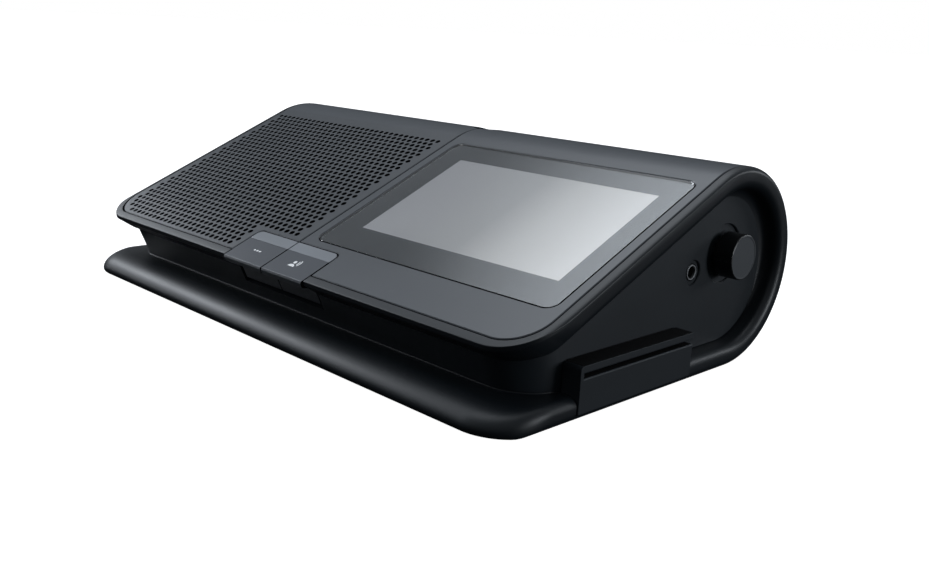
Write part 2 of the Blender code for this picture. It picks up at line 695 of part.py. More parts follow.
def make_body_housing(material):
    places = stations(HOUSING_HALF, CORNER_RADIUS)
    housing = across("body_housing", places, lambda x: housing_profile(x, GAP), material)
    inner_half = HOUSING_HALF - HOUSING_WALL
    corner = CORNER_RADIUS - HOUSING_WALL
    lean = WALL_DRAFT / (WALL_TOP_Z - WALL_BOTTOM_Z)
    low = WALL_BOTTOM_Z - OVERRUN
    high = CREST_Z + OVERRUN
    back = REAR_Y

    def cavity_profile(x):
        recede = corner_recede(x, inner_half, corner)
        front = WALL_BOTTOM_Y + recede + HOUSING_WALL * math.hypot(1, lean)
        return [
            (front + lean * (WALL_BOTTOM_Z - low), low), (back, low), (back, high),
            (front - lean * (high - WALL_BOTTOM_Z), high),
        ]

    cavity = across("cut_cavity", stations(inner_half, corner), cavity_profile, None)
    block = BUTTON_BLOCK_HALF + GAP
    recess = extrude(
        "cut_finger_recess",
        rectangle(-block, block, WALL_TOP_DROP - HOUSING_WALL - OVERRUN, WALL_TOP_DROP + OVERRUN),
        0, RECESS_DEPTH, on_slope, None,
    )
    cut(housing, cavity, recess)
    side_cuts = []
    for side in (-1, 1):
        face = side * HOUSING_HALF
        inside = side * (HOUSING_HALF - HOUSING_WALL - OVERRUN)
        outside = side * (HOUSING_HALF + OVERRUN)
        side_cuts += [
            extrude("cut_knob_seat", circle(KNOB_Y, KNOB_Z, KNOB_SEAT_RADIUS, FINE_STEPS),
                    face - side * KNOB_SEAT_DEPTH, outside, from_side, None),
            extrude("cut_bush", circle(KNOB_Y, KNOB_Z, BUSH_RADIUS + GAP, ROUND_STEPS), inside, outside,
                    from_side, None),
            extrude("cut_jack_seat", circle(JACK_Y, JACK_Z, JACK_SEAT_RADIUS, ROUND_STEPS),
                    face - side * JACK_SEAT_DEPTH, outside, from_side, None),
            extrude("cut_jack", circle(JACK_Y, JACK_Z, JACK_RING_RADIUS + GAP, ROUND_STEPS), inside, outside,
                    from_side, None),
        ]
    slot_low = CARD_SLOT_Z - READER_HEIGHT / 2 - GAP
    slot_high = CARD_SLOT_Z + READER_HEIGHT / 2 + GAP
    side_cuts.append(extrude(
        "cut_card_opening",
        rectangle(CARD_Y - CARD_LENGTH / 2 + CARD_SLOT_END, CARD_Y + CARD_LENGTH / 2 - CARD_SLOT_END,
                  slot_low, slot_high),
        HOUSING_HALF - HOUSING_WALL - OVERRUN, HOUSING_HALF + OVERRUN, from_side, None,
    ))
    return cut(housing, *side_cuts)


def make_panel(name, low, high, material):
    """One top panel from x low to x high; its outer front corner is rounded."""
    half = PANEL_HALF - PANEL_SEAM / 2
    turn = [half - PANEL_CORNER + PANEL_CORNER * math.sin(t) for t in spaced(0, math.pi / 2, 6)]
    places = [low] + turn if high > 0 else [-x for x in reversed(turn)] + [high]

    def profile(x):
        return strip_profile(x, half, PANEL_CORNER, PANEL_FRONT - PANEL_SEAM / 2, 0, PANEL_THICKNESS,
                             PANEL_END_ANGLE)

    panel = across(name, places, profile, material)
    block = BUTTON_BLOCK_HALF + BUTTON_GAP
    notch_length = SLOPE_LENGTH - BAR_REAR + BUTTON_GAP + OVERRUN
    notch = extrude(
        "cut_" + name + "_notch",
        round_rectangle(0, BAR_REAR - BUTTON_GAP + notch_length / 2, 2 * block, notch_length,
                        BUTTON_CORNER + BUTTON_GAP),
        -OVERRUN, PANEL_THICKNESS + OVERRUN, on_slope, None,
    )
    well = extrude(
        "cut_" + name + "_well", circle(0, MIC_Y, MIC_RADIUS + GAP, FINE_STEPS),
        CREST_Z - MIC_LENGTH, CREST_Z + OVERRUN, from_above, None,
    )
    return cut(panel, notch, well)


def grille_places():
    """Hole centres in x and drop, staggered, clear of the buttons and the rounded front corner."""
    pitch_x = (HALF - GRILLE_SIDE_MARGIN - GRILLE_SEAM_MARGIN) / (GRILLE_COLUMNS - 1)
    pitch_drop = (SLOPE_LENGTH - GRILLE_REAR_MARGIN - GRILLE_FRONT_MARGIN) / (GRILLE_ROWS - 1)
    half = PANEL_HALF - PANEL_SEAM / 2
    places = []
    for row in range(0, GRILLE_ROWS, GRILLE_STRIDE):
        drop = GRILLE_REAR_MARGIN + row * pitch_drop
        for column in range(row // GRILLE_STRIDE % GRILLE_STRIDE, GRILLE_COLUMNS, GRILLE_STRIDE):
            x = -HALF + GRILLE_SIDE_MARGIN + column * pitch_x
            front = PANEL_FRONT - corner_recede(x, half, PANEL_CORNER) / COS
            beside = x < -BUTTON_BLOCK_HALF - GRILLE_CLEARANCE
            if drop < front - GRILLE_CLEARANCE and (beside or drop < BAR_REAR - GRILLE_CLEARANCE):
                places.append((x, drop))
    return places


def make_speaker_panel(material):
    panel = make_panel("speaker_panel", -PANEL_HALF + PANEL_SEAM / 2, -PANEL_SEAM / 2, material)
    holes = [
        extrude("hole", circle(x, drop, GRILLE_HOLE_RADIUS, GRILLE_HOLE_SIDES), -OVERRUN,
                PANEL_THICKNESS + OVERRUN, on_slope, None)
        for x, drop in grille_places()
    ]
    return cut(panel, joined("cut_grille_holes", holes))


def make_display_bezel(material):
    half = PANEL_HALF - PANEL_SEAM / 2
    bezel = make_panel("display_bezel", PANEL_SEAM / 2, half, material)
    seat = extrude(
        "cut_glass_seat",
        round_rectangle(GLASS_X, GLASS_DROP, GLASS_WIDTH + 2 * GAP, GLASS_HEIGHT + 2 * GAP,
                        GLASS_CORNER + GAP),
        -OVERRUN, GLASS_THICKNESS + GAP, on_slope, None,
    )
    window = extrude(
        "cut_lcd_window",
        round_rectangle(GLASS_X, GLASS_DROP, GLASS_WIDTH - 2 * GLASS_LEDGE, GLASS_HEIGHT - 2 * GLASS_LEDGE,
                        GLASS_CORNER / 2),
        0, PANEL_THICKNESS + OVERRUN, on_slope, None,
    )
    return cut(bezel, seat, window)


# Display stack
def make_display(glass, black, steel, ribbon_film):
    extrude("cover_glass", round_rectangle(GLASS_X, GLASS_DROP, GLASS_WIDTH, GLASS_HEIGHT, GLASS_CORNER, 6),
            0, GLASS_THICKNESS, on_slope, glass)
    extrude("lcd_module", round_rectangle(DISPLAY_X, DISPLAY_DROP, LCD_WIDTH, LCD_HEIGHT, LCD_CORNER, 1),
            LCD_DEPTH, LCD_DEPTH + LCD_THICKNESS, on_slope, black)
    flange_top = PANEL_THICKNESS + GAP
    deep = BRACKET_DEPTH + BRACKET_THICKNESS
    inner = GLASS_HEIGHT / 2 - GLASS_LEDGE + BRACKET_INSET
    outer = inner + BRACKET_FLANGE
    rail = [
        (DISPLAY_DROP - outer, flange_top), (DISPLAY_DROP - inner, flange_top),
        (DISPLAY_DROP - inner, BRACKET_DEPTH), (DISPLAY_DROP + inner, BRACKET_DEPTH),
        (DISPLAY_DROP + inner, flange_top), (DISPLAY_DROP + outer, flange_top),
        (DISPLAY_DROP + outer, deep), (DISPLAY_DROP - outer, deep),
    ]
    half = LCD_WIDTH / 2 + BRACKET_EXTRA / 2

    def place(drop, depth, x):
        return on_slope(x, drop, depth)

    bracket = extrude("lcd_bracket", rail, DISPLAY_X - half, DISPLAY_X + half, place, steel)
    slot_half = RIBBON_WIDTH / 2 + RIBBON_CLEARANCE
    slot = extrude(
        "cut_ribbon_slot",
        rectangle(DISPLAY_X - slot_half, DISPLAY_X + slot_half, DISPLAY_DROP - RIBBON_CLEARANCE,
                  DISPLAY_DROP + RIBBON_THICKNESS + RIBBON_CLEARANCE),
        BRACKET_DEPTH - OVERRUN, deep + OVERRUN, on_slope, None,
    )
    cut(bracket, slot)
    top = on_slope(0, DISPLAY_DROP, LCD_DEPTH + LCD_THICKNESS + GAP)
    knee = on_slope(0, DISPLAY_DROP, deep + BRACKET_FLANGE)
    low = BOARD_TOP_Z + GAP
    thick = RIBBON_THICKNESS
    outline = [
        (top.y, top.z), (knee.y, knee.z), (knee.y, low), (knee.y - thick, low),
        (knee.y - thick, knee.z - thick * SIN), (top.y - thick * COS, top.z - thick * SIN),
    ]
    extrude("display_ribbon", outline, DISPLAY_X - RIBBON_WIDTH / 2, DISPLAY_X + RIBBON_WIDTH / 2, from_side,
            ribbon_film)


# Talk buttons
def button_outline():
    """The button's section, in drop along the slope and depth under it."""
    front = SLOPE_LENGTH
    skirt_back = SKIRT_DROP - SKIRT_THICKNESS
    nose = arc(front, NOSE_DEPTH, NOSE_REACH, NOSE_DEPTH, -math.pi / 2, 0, 3)
    tray = LIGHT_BAR_THICKNESS + GAP
    tray_low = tray + TRAY_THICKNESS
    knuckle = arc(PIN_DROP, PIN_DEPTH, KNUCKLE_RADIUS, KNUCKLE_RADIUS, math.pi, 0, 6)
    return [(BUTTON_REAR, 0)] + nose + [
        (SKIRT_DROP, BAND_THICKNESS - SKIRT_FACE), (SKIRT_DROP, SKIRT_DEPTH), (skirt_back, SKIRT_DEPTH),
        (skirt_back, BUTTON_PLATE), (BUTTON_REAR, tray_low),
        (PIN_DROP + KNUCKLE_RADIUS, tray_low + TRAY_THICKNESS),
    ] + list(reversed(knuckle)) + [
        (PIN_DROP - KNUCKLE_RADIUS, PANEL_THICKNESS + HINGE_CLEARANCE),
        (BAR_REAR, PANEL_THICKNESS + HINGE_CLEARANCE),
        (BAR_REAR, tray), (BUTTON_REAR, tray),
    ]


def slope_side(drop, depth, x):
    return on_slope(x, drop, depth)


def make_button(name, bar_name, side, material, lens):
    low = BUTTON_GAP / 2
    high = low + BUTTON_WIDTH
    span = sorted((side * low, side * high))
    middle = (span[0] + span[1]) / 2
    button = extrude(name, button_outline(), span[0], span[1], slope_side, material)
    bore = extrude("cut_" + name + "_bore", circle(PIN_DROP, PIN_DEPTH, PIN_RADIUS + GAP, SMALL_STEPS),
                   span[0] - OVERRUN, span[1] + OVERRUN, slope_side, None)
    skirt_edge = side * (high - SKIRT_SIDE_INSET)
    beyond = side * (high + OVERRUN)
    trim = extrude("cut_" + name + "_skirt_side",
                   rectangle(SKIRT_DROP - SKIRT_THICKNESS - OVERRUN, SKIRT_DROP + OVERRUN, NOSE_DEPTH * 2,
                             SKIRT_DEPTH + OVERRUN),
                   min(skirt_edge, beyond), max(skirt_edge, beyond), slope_side, None)
    tray_trim = extrude("cut_" + name + "_tray_side",
                        rectangle(PIN_DROP - 2 * KNUCKLE_RADIUS, BUTTON_REAR - GAP, 0, SKIRT_DEPTH),
                        min(skirt_edge, beyond), max(skirt_edge, beyond), slope_side, None)
    cut(button, bore, trim, tray_trim)
    plunger = extrude(
        name + "_plunger",
        rectangle(middle - PLUNGER_WIDTH / 2, middle + PLUNGER_WIDTH / 2, SWITCH_DROP - PLUNGER_WIDTH / 2,
                  SWITCH_DROP + PLUNGER_WIDTH / 2),
        BUTTON_PLATE / 2, PLUNGER_END, on_slope, material,
    )
    combine(button, plunger, "UNION")
    bar = extrude(bar_name, bar_outline(side, low, high), 0, LIGHT_BAR_THICKNESS, on_slope, lens)
    pivot = on_slope(0, PIN_DROP, PIN_DEPTH)
    for piece in (button, bar, bore, trim, tray_trim, plunger):
        move_origin(piece, pivot)


def bar_outline(side, low, high):
    """The light bar seen from above the slope, its outer rear corner rounded."""
    front = BUTTON_REAR - GAP
    corner = arc(high - BUTTON_CORNER, BAR_REAR + BUTTON_CORNER, BUTTON_CORNER, BUTTON_CORNER, 0,
                 -math.pi / 2, CORNER_STEPS)
    points = [(low, front), (high, front)] + corner + [(low, BAR_REAR)]
    return [(side * x, drop) for x, drop in points]


def make_button_carrier(plastic, steel, board_green, switch_metal):
    half = BUTTON_BLOCK_HALF + GAP + CARRIER_WALL
    inner = BUTTON_BLOCK_HALF + GAP
    rear = CARRIER_REAR
    front = rear + CARRIER_LENGTH
    top = PANEL_THICKNESS + GAP
    deep = CARRIER_DEPTH + CARRIER_WALL
    outline = [
        (-half, top), (-inner, top), (-inner, CARRIER_DEPTH), (inner, CARRIER_DEPTH), (inner, top),
        (half, top), (half, deep), (-half, deep),
    ]

    def place(x, depth, drop):
        return on_slope(x, drop, depth)

    carrier = extrude("button_carrier", outline, rear, front, place, plastic)
    pin_hole = extrude("cut_pin_holes", circle(PIN_DROP, PIN_DEPTH, PIN_RADIUS + GAP), -half - OVERRUN,
                       half + OVERRUN, slope_side, None)
    cut(carrier, pin_hole)
    extrude("hinge_pin", circle(PIN_DROP, PIN_DEPTH, PIN_RADIUS), -half, half, slope_side, steel)
    board_low = CARRIER_DEPTH - GAP
    board_high = board_low - BUTTON_BOARD_THICKNESS
    extrude("button_board", rectangle(-inner + GAP, inner - GAP, rear + GAP, front - GAP), board_high,
            board_low, on_slope, board_green)
    base_low = board_high - GAP
    base_top = base_low - SWITCH_BASE
    for side, word in ((-1, "mute"), (1, "speak")):
        x = side * (BUTTON_GAP / 2 + BUTTON_WIDTH / 2)
        drop = min(SWITCH_DROP, front - GAP - SWITCH_SIZE / 2)
        switch = extrude("tact_switch_" + word,
                         round_rectangle(x, drop, SWITCH_SIZE, SWITCH_SIZE, SWITCH_CORNER, 1), base_top,
                         base_low, on_slope, switch_metal)
        cap = extrude("switch_cap_" + word, circle(x, drop, SWITCH_CAP_RADIUS), base_top - SWITCH_CAP_HEIGHT,
                      base_low - SWITCH_BASE / 2, on_slope, switch_metal)
        combine(switch, cap, "UNION")


# Loudspeaker
def make_speaker(cloth, plastic, steel, foam, paper, magnet_metal):
    x = -SPEAKER_X
    drop = SPEAKER_DROP
    centre = on_slope(x, drop, 0)
    inward = on_slope(x, drop, 1) - centre
    plate = round_rectangle(x, drop, BAFFLE_WIDTH, BAFFLE_HEIGHT, GLASS_CORNER, 2)
    extrude("grille_cloth", plate, CLOTH_DEPTH, CLOTH_DEPTH + CLOTH_THICKNESS, on_slope, cloth)
    baffle = extrude("speaker_baffle", plate, BAFFLE_DEPTH, BAFFLE_DEPTH + BAFFLE_THICKNESS, on_slope,
                     plastic)
    mouth = extrude("cut_baffle_mouth", circle(x, drop, CONE_RADIUS, FINE_STEPS), BAFFLE_DEPTH - OVERRUN,
                    BAFFLE_DEPTH + BAFFLE_THICKNESS + OVERRUN, on_slope, None)
    places = speaker_screw_places()
    pilot_end = BAFFLE_DEPTH + BAFFLE_THICKNESS * (1 - PILOT_DEPTH_SHARE)
    pilots = [
        extrude("cut_pilot", circle(px, pd, SCREW_SHANK_RADIUS + GAP, 8), pilot_end,
                BAFFLE_DEPTH + BAFFLE_THICKNESS + OVERRUN, on_slope, None)
        for px, pd in places
    ]
    cut(baffle, mouth, joined("cut_baffle_pilots", pilots))
    gasket = [
        (CONE_RADIUS, GASKET_DEPTH), (CONE_RADIUS + GASKET_WIDTH, GASKET_DEPTH),
        (CONE_RADIUS + GASKET_WIDTH, GASKET_DEPTH + GASKET_THICKNESS),
        (CONE_RADIUS, GASKET_DEPTH + GASKET_THICKNESS),
    ]
    turned("speaker_gasket", gasket, centre, inward, foam, FINE_STEPS)
    flange_low = FLANGE_DEPTH + FLANGE_THICKNESS
    seat = CONE_RADIUS + GAP
    basket = [
        (seat, FLANGE_DEPTH), (FLANGE_RADIUS, FLANGE_DEPTH), (FLANGE_RADIUS, flange_low),
        (seat + BASKET_WALL, flange_low), (BASKET_BACK_RADIUS, BASKET_BACK_DEPTH),
        (COIL_RADIUS + GAP, BASKET_BACK_DEPTH), (COIL_RADIUS + GAP, BASKET_BACK_DEPTH - BASKET_WALL),
        (BASKET_BACK_RADIUS - BASKET_WALL, BASKET_BACK_DEPTH - BASKET_WALL), (seat, flange_low),
    ]
    frame = turned("speaker_basket", basket, centre, inward, steel, FINE_STEPS)
    holes = [
        extrude("cut_flange_hole", circle(px, pd, SCREW_SHANK_RADIUS + GAP, 8), FLANGE_DEPTH - GAP,
                flange_low + OVERRUN, on_slope, None)
        for px, pd in places
    ]
    cut(frame, joined("cut_flange_holes", holes))
    rim_low = FLANGE_DEPTH + CONE_THICKNESS
    roll_in, roll_top, roll_low, roll_end = CONE_ROLL_SHARES
    cone = [
        (0, FLANGE_DEPTH + CONE_DEPTH * CONE_CAP_SHARE), (COIL_RADIUS, FLANGE_DEPTH + CONE_DEPTH),
        (CONE_RADIUS * roll_in, rim_low), (CONE_RADIUS * roll_top, FLANGE_DEPTH), (CONE_RADIUS, FLANGE_DEPTH),
        (CONE_RADIUS, rim_low), (CONE_RADIUS * roll_low, rim_low),
        (CONE_RADIUS * roll_end, rim_low + CONE_THICKNESS),
        (COIL_RADIUS, FLANGE_DEPTH + CONE_DEPTH + CONE_THICKNESS),
        (COIL_RADIUS, BASKET_BACK_DEPTH), (0, BASKET_BACK_DEPTH),
    ]
    turned("speaker_cone", cone, centre, inward, paper, FINE_STEPS)
    magnet_low = BASKET_BACK_DEPTH + GAP
    edge = BASKET_WALL
    magnet = [
        (0, magnet_low), (MAGNET_RADIUS - edge, magnet_low), (MAGNET_RADIUS, magnet_low + edge),
        (MAGNET_RADIUS, magnet_low + MAGNET_THICKNESS - edge),
        (MAGNET_RADIUS - edge, magnet_low + MAGNET_THICKNESS), (0, magnet_low + MAGNET_THICKNESS),
    ]
    turned("speaker_magnet", magnet, centre, inward, magnet_metal, FINE_STEPS)
    for number, (px, pd) in enumerate(places, start=1):
        seat = on_slope(px, pd, flange_low + GAP)
        screw("speaker_screw_%d" % number, seat, -inward, flange_low - pilot_end, steel)


def speaker_screw_places():
    return [
        (-SPEAKER_X + FLANGE_SCREW_RING * math.cos(t), SPEAKER_DROP + FLANGE_SCREW_RING * math.sin(t))
        for t in spaced(math.pi / 4, math.pi * 1.75, 3)
    ]


def screw(name, seat, inward, shank, material):
    """A round-headed screw whose head rests on seat, its shank running inward."""
    edge = SCREW_HEAD_HEIGHT * SCREW_EDGE_SHARE
    profile = [
        (0, -SCREW_HEAD_HEIGHT), (SCREW_HEAD_RADIUS - edge, -SCREW_HEAD_HEIGHT),
        (SCREW_HEAD_RADIUS, -SCREW_HEAD_HEIGHT + edge), (SCREW_HEAD_RADIUS, 0), (SCREW_SHANK_RADIUS, 0),
        (SCREW_SHANK_RADIUS, shank), (0, shank),
    ]
    return turned(name, profile, seat, inward, material, 10)


# Side controls
def make_knob(side, word, plastic, metal, black, brass):
    outward = (side, 0, 0)
    face = HOUSING_HALF
    start = face + KNOB_SIDE_GAP
    end = HALF + KNOB_PROUD
    hollow = start + KNOB_HOLLOW
    bore = SHAFT_RADIUS + GAP
    bore_end = end - KNOB_SKIRT
    inner = KNOB_RADIUS - KNOB_SKIRT
    profile = [
        (0, end), (KNOB_RADIUS - KNOB_EDGE, end), (KNOB_RADIUS, end - KNOB_EDGE), (KNOB_RADIUS, start),
        (inner, start), (inner, hollow), (bore, hollow), (bore, bore_end), (0, bore_end),
    ]
    centre = Vector((0, KNOB_Y, KNOB_Z))
    knob = turned("volume_knob_" + word, profile, centre, outward, plastic, FINE_STEPS)
    shaft_end = bore_end - GAP
    shaft_start = shaft_end - SHAFT_LENGTH
    shaft = [
        (0, shaft_start), (SHAFT_RADIUS, shaft_start), (SHAFT_RADIUS, shaft_end - SHAFT_EDGE),
        (SHAFT_RADIUS - SHAFT_EDGE, shaft_end), (0, shaft_end),
    ]
    axle = turned("knob_shaft_" + word, shaft, centre, outward, metal, SMALL_STEPS)
    for piece in (knob, axle):
        move_origin(piece, Vector((side * face, KNOB_Y, KNOB_Z)))

    bush_end = face - KNOB_SEAT_DEPTH + BUSH_WALL_OUT
    wall_in = face - HOUSING_WALL - GAP
    back = wall_in - ENCODER_DEPTH
    body = extrude(
        "encoder_" + word,
        round_rectangle(KNOB_Y, KNOB_Z, ENCODER_SIZE, ENCODER_SIZE, BODY_CORNER, 2),
        side * back, side * wall_in, from_side, black,
    )
    bush = extrude("encoder_bush_" + word, circle(KNOB_Y, KNOB_Z, BUSH_RADIUS, ROUND_STEPS),
                   side * (wall_in - GAP), side * bush_end, from_side, metal)
    combine(body, bush, "UNION")
    bore_cut = extrude("cut_encoder_bore_" + word, circle(KNOB_Y, KNOB_Z, SHAFT_RADIUS + GAP, ROUND_STEPS),
                       side * (shaft_start - GAP), side * (bush_end + OVERRUN), from_side, None)
    cut(body, bore_cut)
    nut_start = face - KNOB_SEAT_DEPTH + GAP
    nut = extrude("knob_nut_" + word, circle(KNOB_Y, KNOB_Z, NUT_RADIUS, 6), side * nut_start,
                  side * (nut_start + NUT_THICKNESS), from_side, brass)
    nut_bore = extrude("cut_nut_bore_" + word, circle(KNOB_Y, KNOB_Z, BUSH_RADIUS + GAP, ROUND_STEPS),
                       side * (nut_start - OVERRUN), side * (nut_start + NUT_THICKNESS + OVERRUN),
                       from_side, None)
    cut(nut, nut_bore)


def make_jack(side, word, metal, black):
    face = HOUSING_HALF - JACK_SEAT_DEPTH
    centre = Vector((0, JACK_Y, JACK_Z))
    wall_in = HOUSING_HALF - HOUSING_WALL - GAP
    bore = JACK_BORE_RADIUS
    edge = GAP
    ring = [
        (bore, wall_in + GAP), (JACK_RING_RADIUS, wall_in + GAP), (JACK_RING_RADIUS, face + GAP - edge),
        (JACK_RING_RADIUS - edge, face + GAP), (bore + edge, face + GAP), (bore, face + GAP - edge),
    ]
    turned("jack_collar_" + word, ring, centre, (side, 0, 0), metal, ROUND_STEPS)
    back = wall_in - JACK_BODY_LENGTH
    body = extrude("headphone_jack_" + word,
                   round_rectangle(JACK_Y, JACK_Z, JACK_BODY_SIZE, JACK_BODY_SIZE, BODY_CORNER, 2),
                   side * back, side * wall_in, from_side, black)
    hole = extrude("cut_jack_bore_" + word, circle(JACK_Y, JACK_Z, bore, SMALL_STEPS),
                   side * (back + HOUSING_WALL), side * (wall_in + OVERRUN), from_side, None)
    cut(body, hole)


def make_card_slot(plastic, black):
    low_y = CARD_Y - CARD_LENGTH / 2
    high_y = CARD_Y + CARD_LENGTH / 2
    top = CARD_Z + CARD_HEIGHT
    outline = [(low_y, CARD_Z), (high_y, CARD_Z), (high_y, top)]
    outline += arc(low_y + CARD_CORNER, top - CARD_CORNER, CARD_CORNER, CARD_CORNER, math.pi / 2, math.pi, 4)
    start = HOUSING_HALF + GAP
    end = HALF + CARD_PROUD
    bezel = extrude("card_slot_bezel", outline, start, end, from_side, plastic)
    slot_low = CARD_SLOT_Z - CARD_SLOT_HEIGHT / 2
    slot_high = CARD_SLOT_Z + CARD_SLOT_HEIGHT / 2
    mouth = extrude("cut_card_mouth",
                    rectangle(low_y + CARD_SLOT_END, high_y - CARD_SLOT_END, slot_low, slot_high),
                    start - OVERRUN, end + OVERRUN, from_side, None)
    cut(bezel, mouth)
    reader_end = HOUSING_HALF - GAP
    reader_start = reader_end - READER_DEPTH
    reader_low = CARD_SLOT_Z - READER_HEIGHT / 2
    reader_high = CARD_SLOT_Z + READER_HEIGHT / 2
    inset = CARD_SLOT_END + GAP
    reader = extrude("card_reader", rectangle(low_y + inset, high_y - inset, reader_low, reader_high),
                     reader_start, reader_end, from_side, black)
    throat = extrude("cut_card_throat",
                     rectangle(low_y + inset + READER_WALL, high_y - inset - READER_WALL, slot_low,
                               slot_high),
                     reader_start + READER_WALL, reader_end + OVERRUN, from_side, None)
    cut(reader, throat)


# Microphone socket and its release
def make_mic_socket(plastic, gold):
    centre = Vector((0, MIC_Y, MIC_TOP_Z))
    edge = MIC_EDGE
    profile = [
        (0, -MIC_LENGTH), (MIC_BODY_RADIUS, -MIC_LENGTH), (MIC_BODY_RADIUS, -MIC_FLANGE),
        (MIC_RADIUS, -MIC_FLANGE), (MIC_RADIUS, -edge), (MIC_RADIUS - edge, 0),
        (MIC_BORE_RADIUS + edge, 0), (MIC_BORE_RADIUS, -edge), (MIC_BORE_RADIUS, -MIC_BORE_DEPTH),
        (0, -MIC_BORE_DEPTH),
    ]
    turned("microphone_socket", profile, centre, (0, 0, 1), plastic, FINE_STEPS)
    insert_low = MIC_TOP_Z - MIC_BORE_DEPTH + GAP
    insert_top = insert_low + MIC_INSERT_THICKNESS
    insert = extrude("socket_insert", circle(0, MIC_Y, MIC_BORE_RADIUS - GAP, ROUND_STEPS), insert_low,
                     insert_top, from_above, gold)
    pins = []
    for i in range(MIC_PIN_COUNT):
        t = 2 * math.pi * i / MIC_PIN_COUNT
        pins.append(extrude(
            "pin", circle(MIC_PIN_RING * math.cos(t), MIC_Y + MIC_PIN_RING * math.sin(t), MIC_PIN_RADIUS, 8),
            insert_top - MIC_PIN_RADIUS, insert_top + MIC_PIN_LENGTH, from_above, gold,
        ))
    combine(insert, joined("socket_pins", pins), "UNION")


def release_hole():
    return extrude("cut_release_hole", circle(0, RELEASE_Z, RELEASE_RADIUS + GAP, ROUND_STEPS),
                   RELEASE_FACE_Y - RELEASE_LENGTH, RELEASE_FACE_Y + OVERRUN, from_behind, None)


def make_release(plastic, steel):
    edge = RELEASE_EDGE
    profile = [
        (0, 0), (RELEASE_RADIUS - edge, 0), (RELEASE_RADIUS, -edge), (RELEASE_RADIUS, -RELEASE_LENGTH),
        (0, -RELEASE_LENGTH),
    ]
    centre = Vector((0, RELEASE_FACE_Y, RELEASE_Z))
    button = turned("mic_release_button", profile, centre, (0, 1, 0), plastic, ROUND_STEPS)
    back = LATCH_BACK_Y
    front = back - LATCH_THICKNESS
    top = MIC_TOP_Z - MIC_BORE_DEPTH
    low = RELEASE_Z - RELEASE_RADIUS
    hook = LATCH_HOOK_Y
    outline = [
        (front, low), (back, low), (back, top), (hook, top), (hook, top - LATCH_THICKNESS),
        (front, top - LATCH_THICKNESS - LATCH_HOOK),
    ]
    latch = extrude("mic_latch", outline, -LATCH_WIDTH / 2, LATCH_WIDTH / 2, from_side, steel)
    for piece in (button, latch):
        move_origin(piece, centre)


# Base
def cover_screw_places():
    inset = COVER_LEDGE / 2
    half_x = COVER_WIDTH / 2 - inset
    half_y = COVER_LENGTH / 2 - inset
    return [(x, COVER_Y + y) for x in (-half_x, half_x) for y in (-half_y, half_y)]


def foot_places():
    return [("front", FOOT_FRONT_Y), ("back", FOOT_BACK_Y)]


def boss_places():
    half = BOARD_WIDTH / 2 - BOSS_INSET
    front = BOARD_FRONT_Y + BOSS_INSET
    back = COVER_Y + COVER_LENGTH / 2 - COVER_LEDGE - BOSS_INSET
    return [(x, y) for x in (-half, half) for y in (front, back)]


def make_base(plastic, steel, rubber):
    cover = extrude("bottom_cover", round_rectangle(0, COVER_Y, COVER_WIDTH, COVER_LENGTH, COVER_CORNER),
                    FOOT_PROUD, COVER_TOP_Z, from_above, plastic)
    sinks = []
    holes = []
    for number, (x, y) in enumerate(cover_screw_places(), start=1):
        sinks.append(extrude("sink", circle(x, y, SCREW_HEAD_RADIUS + GAP), -OVERRUN, FOOT_PROUD + SCREW_SINK,
                             from_above, None))
        holes.append(extrude("hole", circle(x, y, SCREW_SHANK_RADIUS + GAP), FOOT_PROUD,
                             COVER_TOP_Z + OVERRUN, from_above, None))
        seat = Vector((x, y, FOOT_PROUD + SCREW_SINK - SCREW_SEAT_GAP))
        screw("cover_screw_%d" % number, seat, (0, 0, 1), BOTTOM_WALL - SCREW_SINK, steel)
    bosses = [
        extrude("boss", circle(x, y, BOSS_RADIUS), COVER_TOP_Z - COVER_THICKNESS / 2, BOARD_Z - GAP,
                from_above, plastic)
        for x, y in boss_places()
    ]
    combine(cover, joined("cover_bosses", bosses), "UNION")
    cut(cover, joined("cut_screw_sinks", sinks), joined("cut_screw_holes", holes))
    extrude("ballast_plate", round_rectangle(0, COVER_Y, BALLAST_WIDTH, BALLAST_LENGTH, COVER_CORNER, 2),
            COVER_TOP_Z + GAP, COVER_TOP_Z + GAP + BALLAST_THICKNESS, from_above, steel)
    for word, y in foot_places():
        extrude("rubber_foot_" + word,
                round_rectangle(0, y, FOOT_LENGTH, FOOT_WIDTH, FOOT_WIDTH / 2 - FOOT_CORNER_CLEARANCE, 3), 0,
                FOOT_PROUD + FOOT_SEAT - GAP, from_above, rubber)


# Main board, sockets and the bay they face
def port_places():
    return [-PORT_X - PORT_SPACING / 2, -PORT_X + PORT_SPACING / 2]


def bay_bounds():
    half = PORT_SPACING / 2 + PORT_WIDTH / 2 + BAY_CLEARANCE
    return (-PORT_X - half, -PORT_X + half, PORT_Z, PORT_Z + PORT_HEIGHT + BAY_WALL)


def bay_opening():
    low_x, high_x, low_z, high_z = bay_bounds()
    return [extrude("cut_bay_opening", rectangle(low_x - GAP, high_x + GAP, low_z - GAP, high_z + GAP),
                    PORT_FACE_Y - GAP, REAR_Y + OVERRUN, from_behind, None)]


